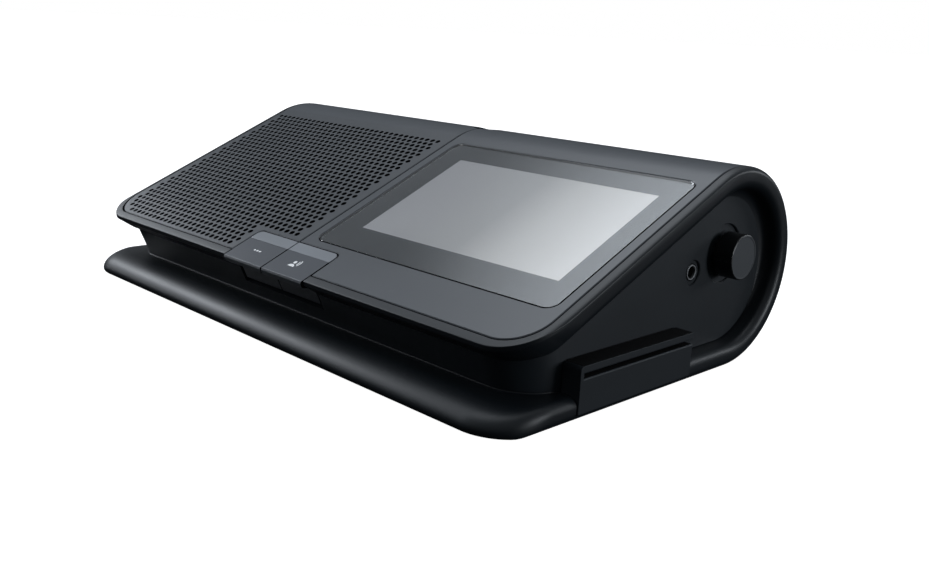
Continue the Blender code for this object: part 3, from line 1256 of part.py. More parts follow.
def make_connector_bay(plastic):
    low_x, high_x, low_z, high_z = bay_bounds()
    far = REAR_Y + OVERRUN
    start = PORT_FACE_Y + GAP
    bay = extrude("connector_bay", rectangle(low_x, high_x, low_z, high_z), start, far, from_behind, plastic)
    inner = extrude("cut_bay_inside",
                    rectangle(low_x + BAY_WALL, high_x - BAY_WALL, low_z + BAY_WALL, high_z - BAY_WALL),
                    start + BAY_WALL, far + OVERRUN, from_behind, None)
    cut(bay, inner)
    mouth_half = PORT_MOUTH_WIDTH / 2 + BAY_MOUTH_MARGIN
    mouth_low = PORT_MOUTH_Z - BAY_MOUTH_MARGIN
    mouth_high = PORT_MOUTH_Z + PORT_MOUTH_HEIGHT + BAY_MOUTH_MARGIN
    mouths = [
        extrude("mouth", rectangle(x - mouth_half, x + mouth_half, mouth_low, mouth_high), start - OVERRUN,
                start + BAY_WALL + GAP, from_behind, None)
        for x in port_places()
    ]
    cut(bay, joined("cut_bay_mouths", mouths))
    roll = extrude("trim_bay_roll", circle(ROLL_Y, ROLL_Z, ROLL_RADIUS - GAP, 2 * FINE_STEPS),
                   low_x - OVERRUN, high_x + OVERRUN, from_side, None)
    combine(bay, roll, "INTERSECT")


def make_electronics(green, metal):
    half = BOARD_WIDTH / 2
    board = extrude("main_board", rectangle(-half, half, BOARD_FRONT_Y, BOARD_BACK_Y), BOARD_Z, BOARD_TOP_Z,
                    from_above, green)
    chip_shares = [
        (-0.75, 0.3, 0.09), (-0.45, 0.62, 0.06), (-0.1, 0.28, 0.1), (0.3, 0.72, 0.07), (0.72, 0.4, 0.08),
    ]
    chips = []
    for share_x, share_y, share_size in chip_shares:
        x = share_x * half
        y = BOARD_FRONT_Y + share_y * BOARD_LENGTH
        size = share_size * BOARD_WIDTH
        chips.append(extrude("chip", rectangle(x - size / 2, x + size / 2, y - size / 2, y + size / 2),
                             BOARD_Z + BOARD_THICKNESS / 2, BOARD_TOP_Z + CHIP_HEIGHT, from_above, green))
    combine(board, joined("board_chips", chips), "UNION")
    for number, x in enumerate(port_places(), start=1):
        socket = extrude("network_socket_%d" % number,
                         rectangle(x - PORT_WIDTH / 2, x + PORT_WIDTH / 2, PORT_Z, PORT_Z + PORT_HEIGHT),
                         PORT_FACE_Y - PORT_DEPTH, PORT_FACE_Y, from_behind, metal)
        mouth = extrude("cut_port_mouth_%d" % number,
                        rectangle(x - PORT_MOUTH_WIDTH / 2, x + PORT_MOUTH_WIDTH / 2, PORT_MOUTH_Z,
                                  PORT_MOUTH_Z + PORT_MOUTH_HEIGHT),
                        PORT_FACE_Y - PORT_MOUTH_DEPTH, PORT_FACE_Y + OVERRUN, from_behind, None)
        cut(socket, mouth)


def main():
    clear_objects()
    shell_black = make_material("shell_black", (0.022, 0.026, 0.030), 0.48)
    housing_black = make_material("housing_black", (0.016, 0.019, 0.022), 0.5)
    panel_grey = make_material("panel_grey", (0.085, 0.092, 0.105), 0.46)
    button_grey = make_material("button_grey", (0.062, 0.066, 0.074), 0.45)
    bar_grey = make_material("light_bar_grey", (0.19, 0.2, 0.215), 0.35)
    glass = make_material("display_glass", (0.09, 0.095, 0.1), 0.08)
    black = make_material("inner_black", (0.012, 0.012, 0.013), 0.6)
    steel = make_material("zinc_steel", (0.55, 0.56, 0.58), 0.38, 1.0)
    nickel = make_material("nickel", (0.7, 0.7, 0.7), 0.22, 1.0)
    brass = make_material("brass", (0.72, 0.56, 0.3), 0.3, 1.0)
    cloth = make_material("acoustic_cloth", (0.01, 0.01, 0.011), 0.95)
    foam = make_material("gasket_foam", (0.02, 0.02, 0.02), 0.9)
    paper = make_material("cone_paper", (0.035, 0.033, 0.03), 0.85)
    magnet = make_material("ferrite", (0.06, 0.06, 0.065), 0.55, 0.2)
    board = make_material("circuit_green", (0.02, 0.12, 0.06), 0.4)
    film = make_material("ribbon_film", (0.35, 0.2, 0.06), 0.35)
    rubber = make_material("rubber", (0.015, 0.015, 0.016), 0.85)
    knob_plastic = make_material("knob_plastic", (0.05, 0.053, 0.057), 0.4)

    make_outer_shell(shell_black)
    make_body_housing(housing_black)
    make_speaker_panel(panel_grey)
    make_display_bezel(panel_grey)
    make_display(glass, black, steel, film)
    make_button("button_mute", "light_bar_mute", -1, button_grey, bar_grey)
    make_button("button_speak", "light_bar_speak", 1, button_grey, bar_grey)
    make_button_carrier(black, steel, board, steel)
    make_speaker(cloth, black, steel, foam, paper, magnet)
    for side, word in ((-1, "left"), (1, "right")):
        make_knob(side, word, knob_plastic, steel, black, nickel)
        make_jack(side, word, nickel, black)
    make_card_slot(housing_black, black)
    make_mic_socket(black, brass)
    make_release(black, steel)
    make_base(housing_black, steel, rubber)
    make_connector_bay(black)
    make_electronics(board, steel)

    unit = bpy.data.objects.new("delegate_unit", None)
    bpy.context.scene.collection.objects.link(unit)
    for obj in bpy.context.scene.collection.objects:
        if obj is not unit and not obj.hide_render:
            obj.parent = unit


main()
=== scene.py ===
import json
import math

import bmesh
import bpy
from mathutils import Matrix, Vector, geometry


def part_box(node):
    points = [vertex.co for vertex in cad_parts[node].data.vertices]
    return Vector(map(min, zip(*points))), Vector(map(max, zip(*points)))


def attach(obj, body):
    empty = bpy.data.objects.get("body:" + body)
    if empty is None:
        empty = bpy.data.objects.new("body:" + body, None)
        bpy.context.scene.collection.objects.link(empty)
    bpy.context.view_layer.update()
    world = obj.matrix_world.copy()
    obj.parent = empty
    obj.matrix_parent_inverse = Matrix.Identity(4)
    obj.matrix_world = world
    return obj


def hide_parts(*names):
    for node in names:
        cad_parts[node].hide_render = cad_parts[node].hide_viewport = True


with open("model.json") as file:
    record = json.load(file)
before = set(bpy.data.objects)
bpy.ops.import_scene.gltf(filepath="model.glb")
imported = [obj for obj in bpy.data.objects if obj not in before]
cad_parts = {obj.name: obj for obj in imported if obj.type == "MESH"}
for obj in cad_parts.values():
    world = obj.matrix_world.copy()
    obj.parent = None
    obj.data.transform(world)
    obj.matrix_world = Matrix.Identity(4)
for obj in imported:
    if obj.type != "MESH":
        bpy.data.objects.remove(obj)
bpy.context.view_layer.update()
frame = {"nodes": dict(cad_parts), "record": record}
nodes = frame["nodes"]
bodyOfNode = {node: body for body, members in frame["record"]["behaviour"]["bodies"].items() for node in members}
slotOfNode = {part["node"]: part["material_slot"] for part in frame["record"]["subparts"]}
scene = bpy.context.scene
scene.view_settings.view_transform = "Standard"
mm = 0.001


def setInputs(node, values):
    for label, value in values.items():
        node.inputs[label].default_value = value


def addNode(tree, kind, values=None, **settings):
    node = tree.nodes.new("ShaderNode" + kind)
    for key, value in settings.items():
        setattr(node, key, value)
    setInputs(node, values or {})
    return node


def wire(tree, *joins):
    # each join is a node, its output, another node and its input
    for source, output, target, entry in joins:
        tree.links.new(source.outputs[output], target.inputs[entry])


def newMaterial(name, values):
    material = bpy.data.materials.new(name)
    material.use_nodes = True
    shader = material.node_tree.nodes["Principled BSDF"]
    setInputs(shader, values)
    return material, material.node_tree, shader


cameraView = {
    "place": (0.30079, -0.26659, 0.11361),
    "azimuth": 44.941,
    "elevation": 14.315,
    "roll": 2.839,
    "lens": 38.507,
    "sensor": 36.0,
    "clipStart": 0.01,
}


def makeCamera():
    az, el, roll = (math.radians(cameraView[key]) for key in ("azimuth", "elevation", "roll"))
    forward = Vector((-math.sin(az) * math.cos(el), math.cos(az) * math.cos(el), -math.sin(el)))
    flatRight = Vector((math.cos(az), math.sin(az), 0))
    flatUp = flatRight.cross(forward)
    right = math.cos(roll) * flatRight + math.sin(roll) * flatUp
    up = -math.sin(roll) * flatRight + math.cos(roll) * flatUp
    data = bpy.data.cameras.new("viewCamera")
    data.lens = cameraView["lens"]
    data.sensor_width = cameraView["sensor"]
    data.sensor_fit = "HORIZONTAL"
    data.clip_start = cameraView["clipStart"]
    camera = bpy.data.objects.new("viewCamera", data)
    turn = Matrix((right, up, -forward)).transposed().to_4x4()
    camera.matrix_world = Matrix.Translation(cameraView["place"]) @ turn
    scene.collection.objects.link(camera)
    scene.camera = camera


stage = {
    "floorSize": 60.0,
    "floorColour": (0.45, 0.45, 0.46, 1),
    "floorRoughness": 0.9,
    "floorGlow": 1.0,
    "backdropColour": (1.0, 1.0, 1.0, 1),
    "skyColour": (0.92, 0.98, 1.05, 1),
    "windowAxis": (-0.26, 0.2, 0.946),  # the middle of the broad light overhead
    "windowEdge": (0.83, 0.985),        # cosines from that axis where it starts and is full
    "windowGlow": 2.45,
    "roomGlow": 0.21,
    "horizon": (0.05, 0.55),            # heights between which it fades in
    "underShare": 0.05,                 # how much of it comes from below the horizon
    "lampAim": (0, 0, 0.03),
}
# name: (place, width, height, watts, colour)
softboxes = {
    "leftBox": ((-1.024, -0.180, 0.63), 0.35, 0.25, 3.0, (0.93, 0.98, 1.05)),
    "leftFrontBox": ((-0.968, -0.515, 0.52), 0.30, 0.20, 1.05, (0.93, 0.98, 1.05)),
    "lineBox": ((-1.043, -0.555, 0.225), 0.34, 0.08, 0.38, (0.93, 0.98, 1.05)),
    "rightLowBox": ((1.123, 0.409, 0.135), 0.35, 0.25, 2.6, (0.93, 0.98, 1.04)),
    "rearRightBox": ((0.587, 1.017, 0.28), 0.35, 0.25, 1.2, (0.93, 0.98, 1.04)),
}


def makeFloor():
    bpy.ops.mesh.primitive_plane_add(size=stage["floorSize"], location=(0, 0, 0))
    floor = bpy.context.active_object
    floor.name = "studioFloor"
    material, _, _ = newMaterial("floorPaper", {
        "Base Color": stage["floorColour"], "Roughness": stage["floorRoughness"],
        "Emission Color": stage["backdropColour"], "Emission Strength": stage["floorGlow"]})
    floor.data.materials.append(material)
    # it looks pale but throws no light back up at the dark walls
    floor.visible_glossy = False
    floor.visible_diffuse = False


def makeSky():
    # a broad light overhead that fades out evenly; the camera sees a plain backdrop
    world = bpy.data.worlds.new("studioSky")
    world.use_nodes = True
    tree = world.node_tree
    tree.nodes.clear()
    window, horizon = stage["windowEdge"], stage["horizon"]
    where = addNode(tree, "TexCoord")
    parts = addNode(tree, "SeparateXYZ")
    towards = addNode(tree, "VectorMath", {1: stage["windowAxis"]}, operation="DOT_PRODUCT")
    fade = addNode(tree, "MapRange", {"From Min": window[0], "From Max": window[1], "To Min": stage["roomGlow"],
                                      "To Max": stage["windowGlow"]}, interpolation_type="SMOOTHSTEP")
    climb = addNode(tree, "MapRange", {"From Min": horizon[0], "From Max": horizon[1],
                                       "To Min": stage["underShare"]})
    strength = addNode(tree, "Math", operation="MULTIPLY")
    lit = addNode(tree, "Background", {"Color": stage["skyColour"]})
    seen = addNode(tree, "Background", {"Color": stage["backdropColour"]})
    path, mix, out = (addNode(tree, kind) for kind in ("LightPath", "MixShader", "OutputWorld"))
    wire(tree, (where, "Generated", towards, 0), (where, "Generated", parts, "Vector"),
         (towards, "Value", fade, "Value"), (parts, "Z", climb, "Value"), (fade, "Result", strength, 0),
         (climb, "Result", strength, 1), (strength, "Value", lit, "Strength"), (path, "Is Camera Ray", mix, "Fac"),
         (lit, "Background", mix, 1), (seen, "Background", mix, 2), (mix, "Shader", out, "Surface"))
    scene.world = world


def makeSoftboxes():
    for name, (place, width, height, watts, colour) in softboxes.items():
        light = bpy.data.lights.new(name, "AREA")
        light.shape = "RECTANGLE"
        light.size = width
        light.size_y = height
        light.energy = watts
        light.color = colour
        lamp = bpy.data.objects.new(name, light)
        aim = (Vector(stage["lampAim"]) - Vector(place)).normalized()
        lamp.matrix_world = Matrix.Translation(place) @ aim.to_track_quat("-Z", "Y").to_matrix().to_4x4()
        scene.collection.objects.link(lamp)


makeCamera()
makeFloor()
makeSky()
makeSoftboxes()
print("camera and softboxes are set")


grainForm = {"size": 2600.0, "cloud": 22.0, "smoothness": 0.6, "fineDetail": 3.0, "cloudDetail": 4.0,
             "cloudRoughness": 0.55}
wearForm = {
    "edgeStart": 0.53,
    "edgeSharpness": 9.0,
    "edgeLift": 1.5,
    "edgeAdd": 0.004,
    "dustSize": 380.0,
    "dustDetail": 2.0,
    "dustStart": 0.68,
    "dustFull": 0.78,
    "dustAmount": 0.03,
    "dustColour": (0.35, 0.35, 0.36, 1),
    "roughnessSpread": 0.05,
    "bumpDepth": 0.00006,
}


def newGroup(name, inputs, outputs):
    group = bpy.data.node_groups.new(name, "ShaderNodeTree")
    for label, value in inputs.items():
        group.interface.new_socket(label, in_out="INPUT", socket_type="NodeSocketFloat").default_value = value
    for label in outputs:
        group.interface.new_socket(label, in_out="OUTPUT", socket_type="NodeSocketFloat")
    return group, group.nodes.new("NodeGroupInput"), group.nodes.new("NodeGroupOutput")


def makeGrainGroup():
    # fine moulded grain over broad unevenness
    g = grainForm
    group, start, end = newGroup("mouldedGrain", {"Grain Size": g["size"], "Cloud Size": g["cloud"]},
                                 ("Height", "Cloud", "Speck"))
    where = addNode(group, "TexCoord")
    cells = addNode(group, "TexVoronoi", {"Smoothness": g["smoothness"]}, feature="SMOOTH_F1")
    fine = addNode(group, "TexNoise", {"Detail": g["fineDetail"]})
    cloud = addNode(group, "TexNoise", {"Detail": g["cloudDetail"], "Roughness": g["cloudRoughness"]})
    for texture, label in ((cells, "Grain Size"), (fine, "Grain Size"), (cloud, "Cloud Size")):
        wire(group, (where, "Object", texture, "Vector"), (start, label, texture, "Scale"))
    add = addNode(group, "Math", operation="ADD")
    wire(group, (cells, "Distance", add, 0), (fine, "Fac", add, 1), (add, "Value", end, "Height"),
         (cloud, "Fac", end, "Cloud"), (fine, "Fac", end, "Speck"))
    return group


def makeWearGroup():
    # polished edges and a little dust that has settled on faces that look up
    w = wearForm
    group, start, end = newGroup("edgeAndDust", {"Edge Sharpness": w["edgeSharpness"], "Dust Size": w["dustSize"]},
                                 ("Edge", "Dust"))
    shape = addNode(group, "NewGeometry")
    where = addNode(group, "TexCoord")
    parts = addNode(group, "SeparateXYZ")
    lift = addNode(group, "Math", {1: w["edgeStart"]}, operation="SUBTRACT", use_clamp=True)
    grow = addNode(group, "Math", operation="MULTIPLY", use_clamp=True)
    motes = addNode(group, "TexNoise", {"Detail": w["dustDetail"]})
    few = addNode(group, "MapRange", {"From Min": w["dustStart"], "From Max": w["dustFull"]}, clamp=True)
    upward = addNode(group, "Math", operation="MULTIPLY", use_clamp=True)
    wire(group, (shape, "Pointiness", lift, 0), (lift, "Value", grow, 0), (start, "Edge Sharpness", grow, 1),
         (grow, "Value", end, "Edge"), (where, "Object", motes, "Vector"), (start, "Dust Size", motes, "Scale"),
         (motes, "Fac", few, "Value"), (shape, "Normal", parts, "Vector"), (parts, "Z", upward, 0),
         (few, "Result", upward, 1), (upward, "Value", end, "Dust"))
    return group


grainGroup = makeGrainGroup()
wearGroup = makeWearGroup()


def addGrain(tree, shader, size, cloud, smooth, coarse, strength, depth):
    # the shared grain drives a shader's roughness and bump
    grain = addNode(tree, "Group", {"Grain Size": size, "Cloud Size": cloud}, node_tree=grainGroup)
    rough = addNode(tree, "MapRange", {"To Min": smooth, "To Max": coarse})
    bump = addNode(tree, "Bump", {"Strength": strength, "Distance": depth})
    wire(tree, (grain, "Cloud", rough, "Value"), (rough, "Result", shader, "Roughness"),
         (grain, "Height", bump, "Height"), (bump, "Normal", shader, "Normal"))
    return grain


def makeFinish(name, colour, roughness, bump, grain=grainForm["size"], spread=0.12, metallic=0.0, specular=0.5,
               coat=0.0, coatRoughness=0.1, glow=None):
    # a Principled finish whose colour, roughness and bump come from the shared effects
    w = wearForm
    material, tree, shader = newMaterial(name, {"Metallic": metallic, "Specular IOR Level": specular,
                                                "Coat Weight": coat, "Coat Roughness": coatRoughness})
    cover = addGrain(tree, shader, grain, grainForm["cloud"], roughness - w["roughnessSpread"],
                     roughness + w["roughnessSpread"], bump, w["bumpDepth"])
    wear = addNode(tree, "Group", node_tree=wearGroup)
    tone = addNode(tree, "Mix", {"A": (*[c * (1 - spread) for c in colour], 1),
                                 "B": (*[c * (1 + spread) for c in colour], 1)}, data_type="RGBA")
    polished = addNode(tree, "Mix", {"B": (*[min(1, c * w["edgeLift"] + w["edgeAdd"]) for c in colour], 1)},
                       data_type="RGBA")
    dusty = addNode(tree, "Mix", {"B": w["dustColour"]}, data_type="RGBA")
    thin = addNode(tree, "Math", {1: w["dustAmount"]}, operation="MULTIPLY")
    wire(tree, (cover, "Cloud", tone, "Factor"), (wear, "Edge", polished, "Factor"),
         (tone, "Result", polished, "A"), (wear, "Dust", thin, 0), (thin, "Value", dusty, "Factor"),
         (polished, "Result", dusty, "A"), (dusty, "Result", shader, "Base Color"))
    if glow:
        setInputs(shader, {"Emission Color": (*glow[0], 1), "Emission Strength": glow[1]})
    return material


finishSettings = {
    "shellPlastic": {"colour": (0.0072, 0.0107, 0.0143), "roughness": 0.42, "bump": 0.22, "grain": 3000},
    "housingPlastic": {"colour": (0.0107, 0.0155, 0.0203), "roughness": 0.5, "bump": 0.24, "grain": 3000},
    "panelPaint": {"colour": (0.037, 0.044, 0.053), "roughness": 0.34, "bump": 0.12, "grain": 4200, "spread": 0.06,
                   "specular": 1.0},
    "buttonPlastic": {"colour": (0.060, 0.067, 0.079), "roughness": 0.35, "bump": 0.14, "grain": 4200},
    "lightPipe": {"colour": (0.225, 0.24, 0.262), "roughness": 0.34, "coat": 0.25, "bump": 0.05, "grain": 1500},
    # white print with a faint painted glow
    "iconInk": {"colour": (0.78, 0.79, 0.80), "roughness": 0.5, "bump": 0.05, "glow": ((0.9, 0.92, 0.95), 0.12)},
    "knobPlastic": {"colour": (0.004, 0.0045, 0.005), "roughness": 0.36, "bump": 0.12},
    "knobFace": {"colour": (0.095, 0.102, 0.11), "roughness": 0.38, "bump": 0.10, "grain": 1800},
    "innerPlastic": {"colour": (0.008, 0.008, 0.009), "roughness": 0.6, "bump": 0.2},
    "zincSteel": {"colour": (0.52, 0.53, 0.55), "roughness": 0.36, "metallic": 1.0, "bump": 0.1, "grain": 900},
    "nickelPlate": {"colour": (0.66, 0.66, 0.67), "roughness": 0.2, "metallic": 1.0, "bump": 0.04},
    "satinNickel": {"colour": (0.40, 0.41, 0.42), "roughness": 0.46, "metallic": 1.0, "bump": 0.05},
    "contactBrass": {"colour": (0.70, 0.54, 0.28), "roughness": 0.3, "metallic": 1.0, "bump": 0.05},
    "grilleCloth": {"colour": (0.002, 0.002, 0.0022), "roughness": 0.98, "bump": 0.7, "grain": 1600,
                    "specular": 0.1},
    "seamShadow": {"colour": (0.004, 0.004, 0.0045), "roughness": 0.85, "bump": 0.2, "specular": 0.15},
    "gasketFoam": {"colour": (0.014, 0.014, 0.014), "roughness": 0.95, "bump": 0.8, "grain": 1800},
    "conePaper": {"colour": (0.030, 0.028, 0.026), "roughness": 0.9, "bump": 0.5, "grain": 1200},
    "magnetFerrite": {"colour": (0.05, 0.05, 0.055), "roughness": 0.55, "metallic": 0.2, "bump": 0.3},
    "solderMask": {"colour": (0.016, 0.10, 0.05), "roughness": 0.36, "coat": 0.3, "bump": 0.1, "grain": 700},
    "ribbonFilm": {"colour": (0.32, 0.18, 0.05), "roughness": 0.34, "coat": 0.2, "bump": 0.05},
    "footRubber": {"colour": (0.011, 0.011, 0.012), "roughness": 0.88, "bump": 0.4, "grain": 2000},
    "borderPrint": {"colour": (0.010, 0.0135, 0.019), "roughness": 0.35, "bump": 0.03, "grain": 5000},
    "socketPlastic": {"colour": (0.010, 0.011, 0.012), "roughness": 0.32, "bump": 0.08, "grain": 2400},
    "lampLens": {"colour": (0.10, 0.16, 0.09), "roughness": 0.25, "coat": 0.5, "bump": 0.04},
}
finishes = {name: makeFinish(name, **settings) for name, settings in finishSettings.items()}
print("finishes are mixed:", len(finishes))


sharpAngle = 32      # degrees between faces above which an edge stays sharp
mergeReach = 1e-7    # points closer than this become one


def placeMesh(name, mesh):
    piece = bpy.data.objects.new(name, mesh)
    scene.collection.objects.link(piece)
    return piece


def shadeMesh(mesh, angle=sharpAngle):
    mesh.shade_smooth()
    mesh.set_sharp_from_angle(angle=math.radians(angle))


def linkMesh(name, vertices, faces, finish=None, angle=sharpAngle):
    mesh = bpy.data.meshes.new(name)
    mesh.from_pydata([tuple(v) for v in vertices], [], faces)
    work = bmesh.new()
    work.from_mesh(mesh)
    bmesh.ops.remove_doubles(work, verts=work.verts, dist=mergeReach)
    bmesh.ops.recalc_face_normals(work, faces=work.faces)
    work.to_mesh(mesh)
    work.free()
    shadeMesh(mesh, angle)
    if finish:
        mesh.materials.append(finishes[finish])
    return placeMesh(name, mesh)


def loftLoops(name, loops, finish=None):
    count = len(loops[0])
    vertices = [point for loop in loops for point in loop]
    faces = []
    for low in range(0, len(vertices) - count, count):
        for i in range(count):
            j = (i + 1) % count
            faces.append((low + i, low + j, low + count + j, low + count + i))
    faces.append(tuple(reversed(range(count))))
    faces.append(tuple(range(len(vertices) - count, len(vertices))))
    return linkMesh(name, vertices, faces, finish)


def prism(name, outline, low, high, place, finish=None):
    return loftLoops(name, [[place(a, b, c) for a, b in outline] for c in (low, high)], finish)


def cutter(outline, low, high, place):
    return prism("cutter", outline, low, high, place)


def turnedPiece(name, profile, centre, axis, finish=None, steps=64, angle=sharpAngle):
    # a turned solid from (radius, height) points; a radius of 0 closes on the axis
    turn = Vector(axis).normalized().to_track_quat("Z", "Y").to_matrix()
    vertices = []
    rings = []
    for radius, height in profile:
        ring = []
        for i in range(steps if radius > 0 else 1):
            t = 2 * math.pi * i / steps
            ring.append(len(vertices))
            vertices.append(Vector(centre) + turn @ Vector((radius * math.cos(t), radius * math.sin(t), height)))
        rings.append(ring if radius > 0 else ring * steps)
    closed = profile[0][0] > 0
    faces = []
    for a in range(len(rings) if closed else len(rings) - 1):
        b = (a + 1) % len(rings)
        for i in range(steps):
            j = (i + 1) % steps
            face = tuple(dict.fromkeys([rings[a][i], rings[a][j], rings[b][j], rings[b][i]]))
            if len(face) > 2:
                faces.append(face)
    return linkMesh(name, vertices, faces, finish, angle)


def joinShapes(name, outlines, low, high, place, finish):
    # several flat-sided prisms in one mesh
    work = bmesh.new()
    for outline in outlines:
        rings = [[work.verts.new(place(a, b, c)) for a, b in outline] for c in (low, high)]
        for i in range(len(outline)):
            j = (i + 1) % len(outline)
            work.faces.new((rings[0][i], rings[0][j], rings[1][j], rings[1][i]))
        for ring in rings:
            work.faces.new(ring)
    bmesh.ops.recalc_face_normals(work, faces=work.faces)
    mesh = bpy.data.meshes.new(name)
    work.to_mesh(mesh)
    work.free()
    mesh.materials.append(finishes[finish])
    return placeMesh(name, mesh)


def cutWith(piece, tools, joined=()):
    # cuts the tools out of a piece, unites the joined ones with it, and bakes the result into its mesh
    for tool in (*tools, *joined):
        modifier = piece.modifiers.new(tool.name, "BOOLEAN")
        modifier.operation = "UNION" if tool in joined else "DIFFERENCE"
        modifier.solver = "EXACT"
        modifier.object = tool
    graph = bpy.context.evaluated_depsgraph_get()
    mesh = bpy.data.meshes.new_from_object(piece.evaluated_get(graph))
    piece.modifiers.clear()
    piece.data = mesh
    for tool in (*tools, *joined):
        bpy.data.objects.remove(tool, do_unlink=True)
    shadeMesh(mesh)


def softenEdges(piece, width, segments=2):
    bevel = piece.modifiers.new("softEdges", "BEVEL")
    bevel.width = width
    bevel.segments = segments
    bevel.limit_method = "ANGLE"
    bevel.angle_limit = math.radians(sharpAngle)
    bevel.harden_normals = True


def paintFaces(piece, finish, chosen):
    # the chosen faces of a piece get a second finish
    piece.data.materials.append(finishes[finish])
    for face in piece.data.polygons:
        if chosen(face):
            face.material_index = 1


def seat(piece, slotName, *replaced, body="casing"):
    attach(piece, body)
    if replaced:
        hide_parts(*replaced)


def spread(start, stop, steps):
    return [start + (stop - start) * i / steps for i in range(steps + 1)]


def arcPoints(centreA, centreB, radiusA, radiusB, start, stop, steps):
    return [(centreA + radiusA * math.cos(t), centreB + radiusB * math.sin(t)) for t in spread(start, stop, steps)]


def circlePoints(a, b, radius, steps=48):
    return arcPoints(a, b, radius, radius, 0, 2 * math.pi, steps)[:-1]


def boxPoints(lowA, highA, lowB, highB):
    return [(lowA, lowB), (highA, lowB), (highA, highB), (lowA, highB)]


def roundedBox(centreA, centreB, width, height, radius, steps=8):
    halfA = width / 2 - radius
    halfB = height / 2 - radius
    points = []
    for quarter, (a, b) in enumerate([(halfA, halfB), (-halfA, halfB), (-halfA, -halfB), (halfA, -halfB)]):
        start = quarter * math.pi / 2
        points += arcPoints(centreA + a, centreB + b, radius, radius, start, start + math.pi / 2, steps)
    return points


form = {
    "halfWidth": 129 * mm,
    "rollRadius": 36 * mm,
    "slopeLength": 105.2 * mm,
    "frontHeight": 26.41581 * mm,
    "bandThickness": 7.8 * mm,
    "footProud": 0.8 * mm,
    "cornerRadius": 17 * mm,
    "edgeRound": 3.2 * mm,
    "slopeEdgeShare": 0.4,
    "lipReach": 7.1 * mm,
    "lipRound": 12 * mm,
    "lipEdge": 1.6 * mm,
    "noseReach": 0.8 * mm,
    "noseDepth": 1.4 * mm,
    "noseShape": ((0, 0), (0.25, 0.02), (0.40, 0.09), (0.51, 0.21), (0.60, 0.36), (0.78, 0.64), (0.92, 0.86),
                  (1, 1)),
    "rimOverhang": 3.4 * mm,
    "shellWall": 2.5 * mm,
    "bottomWall": 4 * mm,
    "rimWidth": 10 * mm,
    "sideRecess": 7 * mm,
    "coveRadius": 3.4 * mm,
    "wallDraft": 5.3 * mm,
}
panelForm = {
    "thickness": 2.5 * mm,
    "sideMargin": 3.3 * mm,
    "frontMargin": 3.3 * mm,
    "corner": 13 * mm,
    "seam": 0.6 * mm,
    "edge": 0.28 * mm,
    "holeEdge": 0.06 * mm,
    "longLoop": 12 * mm,  # a loop longer than this has the wide edge
    "rowMargin": 1 * mm,
    "sharpAngle": 30,
    "barRound": 3.1 * mm,
    "glassOpening": (116.8 * mm, 79.4 * mm),
    "glassCorner": 4.3 * mm,
}
gap = 0.3 * mm
over = 4 * mm

halfWidth = form["halfWidth"]
rollRadius = form["rollRadius"]
slopeLength = form["slopeLength"]
bandThickness = form["bandThickness"]
footProud = form["footProud"]
cornerRadius = form["cornerRadius"]
seam = panelForm["seam"]
rollZ = footProud + rollRadius
slopeAngle = (math.acos((form["frontHeight"] - rollZ) / math.hypot(rollRadius, slopeLength))
              - math.atan2(slopeLength, rollRadius))
sinSlope = math.sin(slopeAngle)
cosSlope = math.cos(slopeAngle)
depthAll = rollRadius * (1 + sinSlope) + slopeLength * cosSlope + form["lipReach"]
rollY = depthAll / 2 - rollRadius
lipFrontY = -depthAll / 2
rollTop = math.pi / 2 + slopeAngle
panelHalf = halfWidth - panelForm["sideMargin"]
panelFront = slopeLength - panelForm["frontMargin"]
wallTopDrop = slopeLength - form["rimOverhang"]
housingHalf = halfWidth - form["sideRecess"]


def onSlope(x, drop, depth):
    return Vector((
        x,
        rollY - rollRadius * sinSlope - drop * cosSlope + depth * sinSlope,
        rollZ + rollRadius * cosSlope - drop * sinSlope - depth * cosSlope,
    ))


def slopeSide(drop, depth, x):
    return onSlope(x, drop, depth)


def slopeYZ(drop, depth):
    return tuple(onSlope(0, drop, depth))[1:]


def rollYZ(angle, radius):
    return (rollY + radius * math.cos(angle), rollZ + radius * math.sin(angle))


def onTop(x, drop, depth):
    # on the slope, or round the roll where drop is below 0
    if drop >= 0:
        return onSlope(x, drop, depth)
    return Vector((x, *rollYZ(rollTop + drop / rollRadius, rollRadius - depth)))


def fromAbove(x, y, z):
    return Vector((x, y, z))


def fromSide(y, z, x):
    return Vector((x, y, z))


def fromBehind(x, z, y):
    return Vector((x, y, z))


def cornerRecede(x, half, radius):
    # how far a round corner falls back at x
    reach = (abs(x) - (half - radius)) / radius
    return 0 if reach <= 0 else radius * (1 - math.sqrt(max(0, 1 - reach ** 2)))


def coveInset(x):
    # how much thicker the band gets towards the side wall, as a hollow round
    radius = form["coveRadius"]
    reach = (abs(x) - housingHalf) / radius
    if reach >= 1:
        return 0
    return radius if reach <= 0 else radius * (1 - math.sqrt(max(0, 1 - (1 - reach) ** 2)))


def stationsAcross(half, radius, steps):
    right = [half - radius + radius * math.sin(t) for t in spread(0, math.pi / 2, steps)]
    if half == halfWidth:
        right += [housingHalf + form["coveRadius"] * i / 5 for i in range(6)]
    right = sorted(set(round(x, 7) for x in right))
    return [-x for x in reversed(right)] + right


def loftAcross(name, places, section, finish=None):
    return loftLoops(name, [[fromSide(y, z, x) for y, z in section(x)] for x in places], finish)


# the wrapped band: where along the slope its points lie, and how the hollow round inside it fades
bandForm = {
    "rollSteps": 72,
    "topShares": (0.25, 0.5, 0.75, 0.9),
    "underShares": (1.0, 0.94, 0.85, 0.7, 0.5, 0.3, 0.15),
    "bottomShares": (0.3, 0.55, 0.75, 0.9),
    "fadeShare": 0.3,
    "coveStart": -55,  # degrees on the roll where the hollow round starts
    "coveReach": 75,   # and how many more until it is full
}


